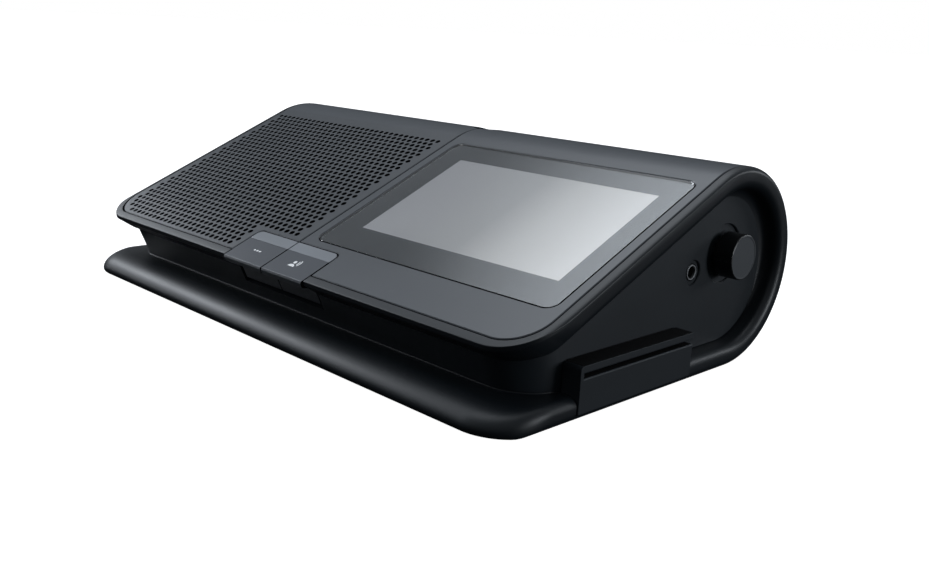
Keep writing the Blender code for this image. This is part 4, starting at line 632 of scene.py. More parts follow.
def bandSection(x):
    inset = cornerRecede(x, halfWidth, form["edgeRound"])
    cove = coveInset(x)
    recede = cornerRecede(x, halfWidth, cornerRadius)
    thick = bandThickness
    share = (thick - 2 * inset) / thick
    front = lipFrontY + recede + inset
    edge = form["lipEdge"] * share
    lipRound = form["lipRound"] * share
    lipZ = footProud + inset + edge
    points = arcPoints(front + lipRound, lipZ, lipRound, (thick - form["lipEdge"]) * share, math.pi / 2, math.pi, 20)
    points += arcPoints(front + edge, lipZ, edge, edge, math.pi, 1.5 * math.pi, 6)[1:]
    angles = spread(-math.pi / 2, rollTop, bandForm["rollSteps"])
    for angle in angles:
        climb = max(0, angle / rollTop)
        points.append(rollYZ(angle, rollRadius - inset * (1 - (1 - form["slopeEdgeShare"]) * climb ** 2)))
    top = inset * form["slopeEdgeShare"]
    reach = slopeLength - recede / cosSlope - inset
    thin = (thick - top - inset) / thick
    points += [slopeYZ(reach * part, top) for part in bandForm["topShares"]]
    points += [slopeYZ(reach + form["noseReach"] * a, top + form["noseDepth"] * thin * b)
               for a, b in form["noseShape"]]
    # the hollow round fades out towards the nose and the lip
    under = reach - form["rimOverhang"]
    points += [slopeYZ(under * part, thick - inset + cove * min(1, (1 - part) / bandForm["fadeShare"]))
               for part in bandForm["underShares"]]
    for angle in reversed(angles):
        # it is full over the top and the back, and gone low down, where a crease shows instead
        fill = min(1, max(0, (math.degrees(angle) - bandForm["coveStart"]) / bandForm["coveReach"]))
        points.append(rollYZ(angle, rollRadius - thick + inset - cove * fill * fill * (3 - 2 * fill)))
    bottomFront = front + lipRound
    return points + [(rollY + (bottomFront - rollY) * part, rollZ - rollRadius + thick - inset)
                     for part in bandForm["bottomShares"]]


opening = {
    "buttonHalf": 25.6 * mm,
    "barRear": 87.8 * mm,
    "pocketStep": 2.5 * mm,
    "pocketFloorStep": 3 * mm,
    "coverHalfWidth": 100.3 * mm,
    "coverDepth": 3.1 * mm,
    "coverCorner": 6 * mm,
    "baseWidth": 188 * mm,
    "baseMargin": 12 * mm,
    "baseDepth": 8.6 * mm,
    "footCorner": 4.2 * mm,
    "footDepth": 1.6 * mm,
    "releaseRadius": 3.8 * mm,
}
wallTop = onSlope(0, wallTopDrop, bandThickness)
wallBottomY = wallTop.y + form["wallDraft"]
wallBottomZ = footProud + bandThickness
lean = form["wallDraft"] / (wallTop.z - wallBottomZ)


def seatSection(x):
    # the sunk bed of the two top panels
    front = panelFront + seam / 2 - cornerRecede(x, panelHalf + seam / 2, panelForm["corner"]) / cosSlope
    low = panelForm["thickness"] + gap
    angles = spread(-seam / rollRadius, rollTop, 48)
    return ([rollYZ(angle, rollRadius + over) for angle in angles] + [slopeYZ(front, -over), slopeYZ(front, low)]
            + [rollYZ(angle, rollRadius - low) for angle in reversed(angles)])


def makeShell():
    o = opening
    shell = loftAcross("shellBand", stationsAcross(halfWidth, cornerRadius, 22), bandSection, "shellPlastic")
    inner = rollRadius - form["shellWall"]
    lowAngle = -math.asin((rollRadius - form["bottomWall"]) / inner)
    pocketHalf = halfWidth - form["rimWidth"]
    pocketCorner = cornerRadius - (housingHalf - pocketHalf)
    pocketBack = [rollYZ(angle, inner) for angle in spread(lowAngle, rollTop, 40)]

    def pocketSection(x):
        recede = cornerRecede(x, pocketHalf, pocketCorner)
        front = panelFront - o["pocketStep"] - recede / cosSlope
        return pocketBack + [slopeYZ(front, form["shellWall"]), slopeYZ(front, bandThickness + over),
                             (wallBottomY + o["pocketFloorStep"] + recede, footProud + form["bottomWall"])]

    low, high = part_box("bottom_cover")
    coverY = (low.y + high.y) / 2
    coverLength = high.y - low.y
    block, bay, release = (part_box(node) for node in ("card_slot_bezel", "connector_bay", "mic_release_button"))
    backY = rollY + rollRadius + over
    tools = [
        loftAcross("cutter", stationsAcross(pocketHalf, pocketCorner, 12), pocketSection),
        loftAcross("cutter", stationsAcross(panelHalf + seam / 2, panelForm["corner"], 14), seatSection),
        cutter(boxPoints(-o["buttonHalf"], o["buttonHalf"], o["barRear"] - over, slopeLength + over), -over,
               bandThickness + over, onSlope),
        cutter(roundedBox(0, coverY, 2 * o["coverHalfWidth"], coverLength + 2 * gap, o["coverCorner"]), -over,
               o["coverDepth"], fromAbove),
        cutter(roundedBox(0, coverY, o["baseWidth"], coverLength - o["baseMargin"], o["coverCorner"]), 0,
               o["baseDepth"], fromAbove),
        cutter(boxPoints(block[0].y - gap, block[1].y + gap, block[0].z - gap, block[1].z), housingHalf - gap,
               halfWidth + over, fromSide),
        cutter(boxPoints(bay[0].x - gap, bay[1].x + gap, bay[0].z - gap, bay[1].z + gap), bay[0].y - gap, backY,
               fromBehind),
        cutter(circlePoints(0, (release[0].z + release[1].z) / 2, o["releaseRadius"]), release[0].y, backY,
               fromBehind),
    ]
    for node in ("rubber_foot_front", "rubber_foot_back"):
        low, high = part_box(node)
        tools.append(cutter(roundedBox(0, (low.y + high.y) / 2, high.x - low.x + 2 * gap,
                                       high.y - low.y + 2 * gap, o["footCorner"]), -over, o["footDepth"], fromAbove))
    cutWith(shell, tools)
    seat(shell, "shell", "outer_shell")


makeShell()
print("shell is formed")


def offsetLoop(loop, distance):
    # the loop moved outward from the material, which lies on its left
    moved = []
    for i, point in enumerate(loop):
        here = Vector(point)
        first = (here - Vector(loop[i - 1])).normalized()
        second = (Vector(loop[(i + 1) % len(loop)]) - here).normalized()
        side = Vector((first.y, -first.x))
        normal = side + Vector((second.y, -second.x))
        if normal.length < 1e-9:
            normal = side.copy()
        normal.normalize()
        moved.append(here + normal * distance / max(0.5, normal.dot(side)))
    return moved


def sheetPiece(name, outline, holes, rows, thickness, edge, holeEdge, place, finish, wallFinish=None):
    # a sheet with its edges and holes chamfered; loops run with the material on their left
    points = []
    faces = []
    for loop in [offsetLoop(outline, -edge)] + [offsetLoop(hole, -holeEdge) for hole in holes]:
        indices = list(range(len(points), len(points) + len(loop)))
        faces.append(indices if not faces else indices[::-1])
        points += loop
    lowX = min(p.x for p in points) - panelForm["rowMargin"]
    highX = max(p.x for p in points) + panelForm["rowMargin"]
    edges = []
    for drop in rows:
        edges.append((len(points), len(points) + 1))
        points += [Vector((lowX, drop)), Vector((highX, drop))]
    flat, _, cells, _, _, origin = geometry.delaunay_2d_cdt(points, edges, faces, 0, 1e-9)
    kept = [cell for cell, owners in zip(cells, origin) if list(owners) == [0]]
    border = {}
    for cell in kept:
        for i, a in enumerate(cell):
            b = cell[(i + 1) % len(cell)]
            if (b, a) in border:
                del border[(b, a)]
            else:
                border[(a, b)] = True
    following = dict(border.keys())
    walls = {}  # each border point's place on the chamfer, and the chamfer's width
    for first in following:
        if first in walls:
            continue
        ring = [first]
        while following[ring[-1]] != first:
            ring.append(following[ring[-1]])
        path = [flat[i] for i in ring]
        length = sum((path[i] - path[i - 1]).length for i in range(len(path)))
        width = edge if length > panelForm["longLoop"] else holeEdge
        walls.update((index, (spot, width)) for index, spot in zip(ring, offsetLoop(path, width)))
    vertices = [place(p.x, p.y, 0) for p in flat]
    chamfer = {index: len(vertices) + i for i, index in enumerate(walls)}
    vertices += [place(spot.x, spot.y, width) for spot, width in walls.values()]
    under = {index: len(vertices) + i for i, index in enumerate(walls)}
    vertices += [place(spot.x, spot.y, thickness) for spot, width in walls.values()]
    for cell in kept:
        for index in cell:
            if index not in under:
                under[index] = len(vertices)
                vertices.append(place(flat[index].x, flat[index].y, thickness))
    allFaces = [tuple(cell) for cell in kept]
    for a, b in border:
        allFaces.append((b, a, chamfer[a], chamfer[b]))
        allFaces.append((chamfer[b], chamfer[a], under[a], under[b]))
    allFaces += [tuple(reversed([under[i] for i in cell])) for cell in kept]
    sheet = linkMesh(name, vertices, allFaces, finish, panelForm["sharpAngle"])
    # the walls below the chamfers take the painted shade of holes and gaps
    if wallFinish:
        wallFrom = len(kept)
        wallTo = wallFrom + 2 * len(border)
        paintFaces(sheet, wallFinish, lambda face: wallFrom < face.index < wallTo and (face.index - wallFrom) % 2)
    return sheet


micForm = {"y": rollY + 5.2 * mm, "radius": 7.3 * mm}


def micNotch(side, inner):
    # the half circle of the microphone socket, unrolled onto the top
    radius = micForm["radius"]
    start = math.asin(inner / radius)
    points = []
    for t in spread(start, math.pi - start, 40):
        angle = math.acos((micForm["y"] - rollY + radius * math.cos(t)) / rollRadius)
        points.append((side * radius * math.sin(t), (angle - rollTop) * rollRadius))
    return points


def panelOutline(side):
    # one panel, with its material on the left of the path, in x and drop
    half = panelHalf - seam / 2
    front = panelFront - seam / 2
    rear = -rollTop * rollRadius
    corner = panelForm["corner"]
    inner = seam / 2
    block = opening["buttonHalf"]
    barRear = opening["barRear"] - seam
    barRound = panelForm["barRound"]
    well = micNotch(1, inner)
    points = [(inner, drop) for drop in spread(rear, well[0][1], 20)[:-1]] + well
    points += [(inner, drop) for drop in spread(well[-1][1], 0, 8)[1:]]
    points.append((inner, barRear))
    points += arcPoints(block - barRound, barRear + barRound, barRound, barRound, -math.pi / 2, 0, 10)
    points.append((block, front))
    for t in spread(0, math.pi / 2, 16):
        x = half - corner + corner * math.sin(t)
        points.append((x, front - cornerRecede(x, half, corner) / cosSlope))
    points += [(half, drop) for drop in spread(0, rear, 44)]
    points = [(-x, drop) for x, drop in points] if side < 0 else points[::-1]
    distinct = []
    for point in points:
        if not distinct or (Vector(point) - Vector(distinct[-1])).length > 1e-6:
            distinct.append(point)
    return distinct


rollRows = spread(-rollTop * rollRadius, 0, 44)[1:]
grille = {
    "holeRadius": 1.18 * mm,
    "firstX": -121.0 * mm,
    "lastX": -6.0 * mm,
    "longRow": 35,
    "firstDrop": 5.77 * mm,
    "rowPitch": 3.005 * mm,
    "fullRows": 27,
    "rows": 32,
    "shortRowEnd": -28.9 * mm,
    "shortRowStarts": (-118.9 * mm, -121.2 * mm, -119.0 * mm, -117.7 * mm, -112.6 * mm),
    "startSlack": 0.6 * mm,
    "holeSteps": 12,
}


def grilleHoles():
    pitch = (grille["lastX"] - grille["firstX"]) / (grille["longRow"] - 1)
    holes = []
    for row in range(grille["rows"]):
        drop = grille["firstDrop"] + row * grille["rowPitch"]
        shifted = row % 2
        for i in range(grille["longRow"] - shifted):
            x = grille["firstX"] + pitch * (i + shifted / 2)
            if row >= grille["fullRows"]:
                first = grille["shortRowStarts"][row - grille["fullRows"]]
                if x < first - grille["startSlack"] or x > grille["shortRowEnd"]:
                    continue
            holes.append(circlePoints(x, drop, grille["holeRadius"], grille["holeSteps"]))
    return holes


def woundRight(loop, holes):
    # the outline runs with the material on its left, and each hole the other way
    area = sum(loop[i - 1][0] * loop[i][1] - loop[i][0] * loop[i - 1][1] for i in range(len(loop)))
    return loop if area > 0 else loop[::-1], [hole[::-1] for hole in holes]


# glass and display, in x and in drop down the slope
displayForm = {
    "glassX": 63.1 * mm,
    "glassDrop": 44.0 * mm,
    "glassWidth": 116.2 * mm,
    "glassHeight": 78.8 * mm,
    "glassThickness": 1.5 * mm,
    "glassCorner": 4 * mm,
    "glassEdge": 0.08 * mm,
    "screen": (16.9 * mm, 112.5 * mm, 15.37 * mm, 69.77 * mm),
    "screenCorner": 0.25 * mm,
    "screenGrow": 1 * mm,
    "screenRound": 0.4 * mm,
    "screenTop": 0.08 * mm,     # below the print
    "screenFoot": 0.02 * mm,    # above the module
    "screenEdge": 0.02 * mm,
    "lcd": (12.35 * mm, 117.85 * mm, 9.0 * mm, 76.2 * mm),
    "lcdCorner": 0.6 * mm,
    "lcdDepth": 1.8 * mm,
    "lcdThickness": 3.4 * mm,
    "lcdEdge": 0.15 * mm,
    "printDepth": 1.53 * mm,
    "printMargin": 0.5 * mm,
    "printThickness": 0.06 * mm,
    "printEdge": 0.01 * mm,
}


def makePanels():
    p = panelForm
    glass = roundedBox(displayForm["glassX"], displayForm["glassDrop"], *p["glassOpening"], p["glassCorner"], 10)
    for name, node, side, holes, holeEdge in (
            ("speakerGrille", "speaker_panel", -1, grilleHoles(), p["holeEdge"]),
            ("displayPanel", "display_bezel", 1, [glass], p["edge"])):
        outline, holes = woundRight(panelOutline(side), holes)
        panel = sheetPiece(name, outline, holes, rollRows, p["thickness"], p["edge"], holeEdge, onTop, "panelPaint",
                           "seamShadow")
        seat(panel, "panel", node)


seamForm = {
    "depth": 0.7 * mm,
    "inner": 2.3 * mm,
    "slack": 0.02 * mm,
    "front": 85 * mm,
}


def seamSection(start, stop, front):
    # one strip under the seam, round the roll and then down the slope
    angles = spread(start, stop, 24)
    outer = [rollYZ(angle, rollRadius - seamForm["depth"]) for angle in angles]
    inner = [rollYZ(angle, rollRadius - seamForm["inner"]) for angle in reversed(angles)]
    if front:
        outer.append(slopeYZ(front, seamForm["depth"]))
        inner.insert(0, slopeYZ(front, seamForm["inner"]))
    return outer + inner


def makeSeamStrips():
    # they keep light from showing through the seam before and behind the microphone, and are painted near-black as
    # shade
    side = seam / 2 - seamForm["slack"]
    wellBack, wellFront = (math.acos((micForm["y"] + reach - rollY) / rollRadius)
                           for reach in (micForm["radius"], -micForm["radius"]))
    for name, start, stop, front in (("seamStripBack", seamForm["slack"] / rollRadius, wellBack, 0),
                                     ("seamStripFront", wellFront, rollTop, seamForm["front"])):
        section = seamSection(start, stop, front)
        seat(loftAcross(name, (-side, side), lambda x: section, "seamShadow"), "inner_plastic")


makePanels()
makeSeamStrips()
print("top panels are perforated")


housingForm = {
    "wall": 2.4 * mm,
    "recessHalf": 25.3 * mm,
    "recessDepth": 14.8 * mm,
    "knobSeat": (10.6 * mm, 0.9 * mm),  # radius and depth
    "knobHoleRadius": 4.5 * mm,
    "jackSeat": (4.3 * mm, 0.8 * mm),
    "jackHoleRadius": 3.1 * mm,
    "seatEdge": 0.28 * mm,
    "footTrim": 0.75 * mm,
    "trimOverlap": 0.05 * mm,
    "knobSpot": (rollY + 0.8 * mm, rollZ + 4.4 * mm),
    "jackSpot": (rollY - 18.1 * mm, rollZ - 0.1 * mm),
}
knobSpot = housingForm["knobSpot"]
jackSpot = housingForm["jackSpot"]
sides = ((-1, "Left"), (1, "Right"))


def housingSection(x):
    recede = cornerRecede(x, housingHalf, cornerRadius)
    radius = rollRadius - bandThickness - gap
    points = [(wallBottomY + recede, rollZ - radius)]
    points += [rollYZ(angle, radius) for angle in spread(-math.pi / 2, rollTop, bandForm["rollSteps"])]
    points.append(slopeYZ(wallTopDrop - recede / cosSlope, bandThickness + gap))
    return points


def sideCutter(spot, radius, depth, side, flare=0.0):
    # a round cutter that enters a side wall, with a flared mouth
    profile = [(0, -depth), (radius, -depth), (radius, -flare), (radius + flare + over, over), (0, over)]
    if flare == 0:
        profile[2:4] = [(radius, over)]
    return turnedPiece("cutter", profile, (side * housingHalf, *spot), (side, 0, 0), None, 72)


def makeHousing():
    f = housingForm
    housing = loftAcross("innerHousing", stationsAcross(housingHalf, cornerRadius, 16), housingSection,
                         "housingPlastic")
    innerHalf = housingHalf - f["wall"]
    corner = cornerRadius - f["wall"]
    low = wallBottomZ - over
    high = rollZ + rollRadius + over

    def cavitySection(x):
        front = wallBottomY + cornerRecede(x, innerHalf, corner) + f["wall"] * math.hypot(1, lean)
        return [(front + lean * (wallBottomZ - low), low), (depthAll / 2, low), (depthAll / 2, high),
                (front - lean * (high - wallBottomZ), high)]

    block = f["recessHalf"]
    tools = [loftAcross("cutter", stationsAcross(innerHalf, corner, 12), cavitySection),
             cutter(boxPoints(-block, block, wallTopDrop - f["wall"] - over, wallTopDrop + over), 0,
                    f["recessDepth"], onSlope)]
    for side, _ in sides:
        tools += [sideCutter(knobSpot, *f["knobSeat"], side, f["seatEdge"]),
                  sideCutter(knobSpot, f["knobHoleRadius"], f["wall"] + over, side),
                  sideCutter(jackSpot, *f["jackSeat"], side, f["seatEdge"]),
                  sideCutter(jackSpot, f["jackHoleRadius"], f["wall"] + over, side)]
    start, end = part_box("card_reader")
    tools.append(cutter(boxPoints(start.y - gap, end.y + gap, start.z - gap, end.z + gap), innerHalf - over,
                        housingHalf + over, fromSide))
    cutWith(housing, tools)
    seat(housing, "housing", "body_housing")


def makeFootTrim():
    # a small hollow fillet where the front wall meets the base; it catches a thin line of light
    radius = housingForm["footTrim"]
    overlap = housingForm["trimOverlap"]

    def trimSection(x):
        foot = wallBottomY + cornerRecede(x, housingHalf, cornerRadius)
        points = []
        for t in spread(0, math.pi / 2, 6):
            rise = radius * (1 - math.cos(t))
            points.append((foot - radius + radius * math.sin(t) - lean * rise, wallBottomZ + rise))
        return points + [(foot - lean * radius + overlap, wallBottomZ + radius), (foot + overlap, wallBottomZ)]

    seat(loftAcross("wallFootTrim", stationsAcross(housingHalf, cornerRadius, 16), trimSection, "shellPlastic"),
         "housing")


makeHousing()
makeFootTrim()
print("housing is formed")


glassForm = {"colour": (0.93, 0.95, 0.96, 1), "coat": 0.3, "coatRoughness": 0.03, "roughness": (0.015, 0.05),
             "grain": 1800, "cloud": 30, "bump": 0.01}
screenForm = {
    # painted reflection: the colour the screen glows with at shares of its width
    "colours": {0.0: (0.28, 0.28, 0.295), 0.5: (0.285, 0.285, 0.29), 0.68: (0.41, 0.405, 0.40),
                1.0: (0.58, 0.57, 0.56)},
    "glow": 0.6,
    "speck": (0.97, 1.02),
    "roughness": (0.4, 0.55),
    "grain": 5200,
    "cloud": 26,
    "bump": 0.05,
}
fineDepth = 0.00001  # how deep the bump of glass and screen is


def makeCoverGlass():
    # clear glass: the finish is on the shader's own sockets, and only roughness and bump are driven
    g = glassForm
    material, tree, shader = newMaterial("coverGlass", {
        "Base Color": g["colour"], "Metallic": 0.0, "IOR": 1.5, "Transmission Weight": 1.0,
        "Coat Weight": g["coat"], "Coat Roughness": g["coatRoughness"]})
    addGrain(tree, shader, g["grain"], g["cloud"], *g["roughness"], g["bump"], fineDepth)
    return material


def makeScreenPaintedReflection():
    # an empty screen that glows with a painted reflection, fading evenly from one end to the other
    s = screenForm
    material, tree, shader = newMaterial("screenPaintedReflection", {"Emission Strength": s["glow"]})
    grain = addGrain(tree, shader, s["grain"], s["cloud"], *s["roughness"], s["bump"], fineDepth)
    where = addNode(tree, "TexCoord")
    parts = addNode(tree, "SeparateXYZ")
    along = addNode(tree, "MapRange", {"From Min": displayForm["screen"][0], "From Max": displayForm["screen"][1]})
    ramp = addNode(tree, "ValToRGB")
    stops = ramp.color_ramp.elements
    for share, colour in s["colours"].items():
        stop = stops[0] if share == 0 else stops[-1] if share == 1 else stops.new(share)
        stop.color = (*colour, 1)
    shade = addNode(tree, "MapRange", {"To Min": s["speck"][0], "To Max": s["speck"][1]})
    scale = addNode(tree, "VectorMath", operation="SCALE")
    wire(tree, (where, "Object", parts, "Vector"), (parts, "X", along, "Value"), (along, "Result", ramp, "Fac"),
         (grain, "Speck", shade, "Value"), (ramp, "Color", scale, 0), (shade, "Result", scale, "Scale"),
         (scale, "Vector", shader, "Emission Color"), (scale, "Vector", shader, "Base Color"))
    return material


finishes["coverGlass"] = makeCoverGlass()
finishes["screenPaintedReflection"] = makeScreenPaintedReflection()


def boundedBox(bounds, grow, radius):
    lowX, highX, rear, front = bounds
    return roundedBox((lowX + highX) / 2, (rear + front) / 2, highX - lowX + grow, front - rear + grow, radius, 3)


def makeDisplay():
    d = displayForm
    outline = roundedBox(d["glassX"], d["glassDrop"], d["glassWidth"], d["glassHeight"], d["glassCorner"], 12)
    glass = prism("coverGlass", outline, 0, d["glassThickness"], onSlope, "coverGlass")
    softenEdges(glass, d["glassEdge"], 1)
    seat(glass, "glass", "cover_glass")

    border = roundedBox(d["glassX"], d["glassDrop"], d["glassWidth"] - d["printMargin"],
                        d["glassHeight"] - d["printMargin"], d["glassCorner"], 12)
    outline, holes = woundRight(border, [boundedBox(d["screen"], 0, d["screenCorner"])])
    printed = sheetPiece("glassBorderPrint", outline, holes, [], d["printThickness"], d["printEdge"], d["printEdge"],
                         lambda x, drop, depth: onSlope(x, drop, d["printDepth"] + depth), "borderPrint")
    seat(printed, "glass", "cover_glass")

    module = prism("lcdModule", boundedBox(d["lcd"], 0, d["lcdCorner"]), d["lcdDepth"],
                   d["lcdDepth"] + d["lcdThickness"], onSlope, "innerPlastic")
    softenEdges(module, d["lcdEdge"])
    seat(module, "inner_plastic", "lcd_module")
    # the screen's glow is a painted reflection
    screen = prism("screenWithPaintedReflection", boundedBox(d["screen"], d["screenGrow"], d["screenRound"]),
                   d["printDepth"] + d["screenTop"], d["lcdDepth"] - d["screenFoot"], onSlope, "screenPaintedReflection")
    softenEdges(screen, d["screenEdge"], 1)
    seat(screen, "glass", "lcd_module")


makeDisplay()
print("display is laid in")


keyForm = {
    "width": 24.7 * mm,
    "gap": 0.6 * mm,
    "rear": 93.0 * mm,
    "plate": 2.4 * mm,
    "skirtDepth": 13 * mm,
    "skirtThickness": 1.8 * mm,
    "skirtSide": 1 * mm,
    "skirtRise": 1.8 * mm,
    "skirtCut": 2.8 * mm,
    "sideShare": 0.9,  # faces turned this far sideways get painted shade
    "barThickness": 1.2 * mm,
    "barCorner": 2.5 * mm,
    "barEdge": 0.09 * mm,
    "barClear": 0.04 * mm,
    "tray": 1 * mm,
    "pinRadius": 0.9 * mm,
    "pinDepth": 5.2 * mm,
    "pinDrop": 85.6 * mm,
    "knuckle": 2.1 * mm,
    "edge": 0.12 * mm,
    "lipReach": 1.4 * mm,
    "faceEdge": 0.65 * mm,
    "faceDepth": 2.3 * mm,
    "faceStep": 0.7 * mm,
    "plungerHalf": 2 * mm,
    "plunger": (95.2 * mm, 99.2 * mm, 1.2 * mm, 9.1 * mm),
}
# the pictograms, in millimetres
iconForm = {
    "places": {"mute": (-12.4, 98.7), "speak": (12.6, 98.9)},
    "pill": (1.2, 0.75, 0.36),
    "pills": ((-1.7, 0.25), (0.0, 0.0), (1.7, -0.25)),  # place and tilt
    "head": (-1.15, -0.75, 0.78),
    "shoulders": (-1.15, 1.75, 1.75, 1.35),
    "waveCentre": (-0.35, -0.75),
    "waveRadii": (1.35, 2.25),
    "waveReach": 0.75,
    "waveWidth": 0.42,
    "depths": (-0.02, 0.08),
}
skirtFront = wallTopDrop - gap
skirtBack = skirtFront - keyForm["skirtThickness"]


def keySection():
    k = keyForm
    lip = slopeLength + k["lipReach"]
    tray = k["barThickness"] + gap
    hinge = panelForm["thickness"] + seam
    barRear = opening["barRear"]
    knuckle = arcPoints(k["pinDrop"], k["pinDepth"], k["knuckle"], k["knuckle"], 0, math.pi, 14)
    return [(k["rear"], 0), (lip - k["faceEdge"], 0), (lip, k["faceEdge"]), (lip, k["faceDepth"]),
            (lip - k["faceStep"], k["faceDepth"] + k["faceStep"]), (skirtFront, bandThickness - k["skirtRise"]),
            (skirtFront, k["skirtDepth"]), (skirtBack, k["skirtDepth"]), (skirtBack, k["plate"]),
            (k["rear"], tray + k["tray"]), (k["pinDrop"] + k["knuckle"], tray + 2 * k["tray"])] + knuckle + [
            (k["pinDrop"] - k["knuckle"], hinge), (barRear, hinge), (barRear, tray), (k["rear"], tray)]


def muteIcon():
    # three short marks in a row, like a falling and rising sound
    marks = []
    for a, tilt in iconForm["pills"]:
        cosine, sine = math.cos(tilt), math.sin(tilt)
        marks.append([(a + p * cosine - q * sine, p * sine + q * cosine)
                      for p, q in roundedBox(0, 0, *iconForm["pill"], 4)])
    return marks


def speakIcon():
    # a head and shoulders with two arcs of sound
    f = iconForm
    shapes = [circlePoints(*f["head"], 20), arcPoints(*f["shoulders"], math.pi, 2 * math.pi, 18)]
    for radius in f["waveRadii"]:
        outer, inner = radius + f["waveWidth"] / 2, radius - f["waveWidth"] / 2
        shapes.append(arcPoints(*f["waveCentre"], outer, outer, -f["waveReach"], f["waveReach"], 14)
                      + arcPoints(*f["waveCentre"], inner, inner, f["waveReach"], -f["waveReach"], 14))
    return shapes


def makeKeys():
    k = keyForm
    low = k["gap"] / 2
    high = low + k["width"]
    for side, word, shapes in ((-1, "mute", muteIcon()), (1, "speak", speakIcon())):
        body = word + "_key"
        ends = sorted((side * low, side * high))
        key = prism(word + "Key", keySection(), *ends, slopeSide, "buttonPlastic")
        edge = sorted((side * (high - k["skirtSide"]), side * (high + over)))
        start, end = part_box("tact_switch_" + word)
        middle = (start.x + end.x) / 2
        rear, front, top, bottom = k["plunger"]
        tools = [
            cutter(circlePoints(k["pinDrop"], k["pinDepth"], k["pinRadius"] + gap, 24), ends[0] - over,
                   ends[1] + over, slopeSide),
            cutter(boxPoints(skirtBack - over, skirtFront + over, k["skirtCut"], k["skirtDepth"] + over), *edge,
                   slopeSide),
            cutter(boxPoints(k["pinDrop"] - 2 * k["knuckle"], k["rear"] - gap, 0, k["skirtDepth"]), *edge,
                   slopeSide)]
        plunger = cutter(boxPoints(middle - k["plungerHalf"], middle + k["plungerHalf"], rear, front), top, bottom,
                         onSlope)
        cutWith(key, tools, [plunger])
        softenEdges(key, k["edge"])
        # the key's sides are painted with the shade of the gap beside them
        paintFaces(key, "seamShadow", lambda face: abs(face.normal.x) > k["sideShare"])
        seat(key, "button", "button_" + word, body=body)

        front = k["rear"] - k["barClear"]
        barRear = opening["barRear"]
        corner = arcPoints(high - k["barCorner"], barRear + k["barCorner"], k["barCorner"], k["barCorner"], 0,
                           -math.pi / 2, 12)
        outline = [(low, front), (high, front)] + corner + [(low, barRear)]
        bar = prism(word + "LightBar", [(side * x, drop) for x, drop in outline], 0, k["barThickness"], onSlope,
                    "lightPipe")
        softenEdges(bar, k["barEdge"])
        seat(bar, "light_bar", "light_bar_" + word, body=body)

        x, drop = iconForm["places"][word]
        # the icons are white print with a faint painted glow
        icon = joinShapes(word + "Icon", [[((x + a) * mm, (drop + b) * mm) for a, b in shape] for shape in shapes],
                          *(depth * mm for depth in iconForm["depths"]), onSlope, "iconInk")
        seat(icon, "light_bar", body=body)


makeKeys()
print("talk keys are in")


knobForm = {
    "radius": 8.1 * mm,
    "start": 122.6 * mm,
    "end": 130.0 * mm,
    "edge": 0.35 * mm,
    "rim": 0.55 * mm,
    "faceSink": 0.16 * mm,
    "faceReach": 0.2 * mm,
    "rimFoot": (0.12 * mm, 0.02 * mm),
    "rimTop": 0.06 * mm,
    "rimShoulder": (0.1 * mm, 0.12 * mm),
    "backEdge": 0.3 * mm,
    "skirt": 1.4 * mm,
    "hollow": 4.2 * mm,
    "bore": 3.3 * mm,
}
jackForm = {
    "ringRadius": 2.75 * mm,
    "ringInner": 2.3 * mm,
    "bore": 1.75 * mm,
    "rise": 0.3 * mm,
    "bevel": 0.14 * mm,
    "throat": (0.1 * mm, 0.5 * mm),  # how much wider and how deep
    "throatEnd": 0.8 * mm,
    "contact": (0.62 * mm, 1.1 * mm),  # its inner and outer radius
    "contactDepth": (2.6 * mm, 1.5 * mm),
}


def fromSpot(face, spot):
    # how far a face's middle lies from an axis across the unit
    return math.hypot(face.center.y - spot[0], face.center.z - spot[1])


def makeKnob(side, word):
    k = knobForm
    outer, start, end = k["radius"], k["start"], k["end"]
    faceRadius = outer - k["edge"] - k["rim"]
    floor = end - k["skirt"]
    profile = [
        (0, end - k["faceSink"]), (faceRadius, end - k["faceSink"]),
        (faceRadius + k["rimFoot"][0], end - k["rimFoot"][1]),
        (outer - k["edge"] - k["rimTop"], end), (outer - k["rimShoulder"][0], end - k["rimShoulder"][1]),
        (outer, end - k["edge"]),
        (outer, start + k["backEdge"]), (outer - k["backEdge"], start), (outer - k["skirt"], start),
        (outer - k["skirt"], start + k["hollow"]), (k["bore"], start + k["hollow"]), (k["bore"], floor), (0, floor),
    ]
    knob = turnedPiece("volumeKnob" + word, profile, (0, *knobSpot), (side, 0, 0), "knobPlastic", 96, 20)
    paintFaces(knob, "knobFace", lambda face: abs(face.center.x) > end - k["faceReach"]
               and fromSpot(face, knobSpot) < outer - k["edge"])
    seat(knob, "knob", "volume_knob_" + word.lower(), body="volume_dial_" + word.lower())


def makeJack(side, word):
    j = jackForm
    inside = housingHalf - housingForm["wall"]
    top = housingHalf - housingForm["jackSeat"][1] + j["rise"]
    ring, inner, bevel, bore = j["ringRadius"], j["ringInner"], j["bevel"], j["bore"]
    profile = [(bore, inside), (ring, inside), (ring, top - bevel), (ring - bevel, top), (inner, top),
               (inner - bevel, top - bevel), (bore + j["throat"][0], top - j["throat"][1]),
               (bore, top - j["throatEnd"])]
    collar = turnedPiece("jackCollar" + word, profile, (0, *jackSpot), (side, 0, 0), "satinNickel", 64)
    paintFaces(collar, "socketPlastic", lambda face: fromSpot(face, jackSpot) < inner - bevel)
    seat(collar, "nickel", "jack_collar_" + word.lower())
    thin, wide = j["contact"]
    low, high = (inside - depth for depth in j["contactDepth"])
    contact = turnedPiece("jackContact" + word, [(thin, low), (wide, low), (wide, high), (thin, high)],
                          (0, *jackSpot), (side, 0, 0), "contactBrass", 24)
    seat(contact, "contact_brass")


for side, word in sides:
    makeKnob(side, word)
    makeJack(side, word)
print("knobs and jacks are turned")


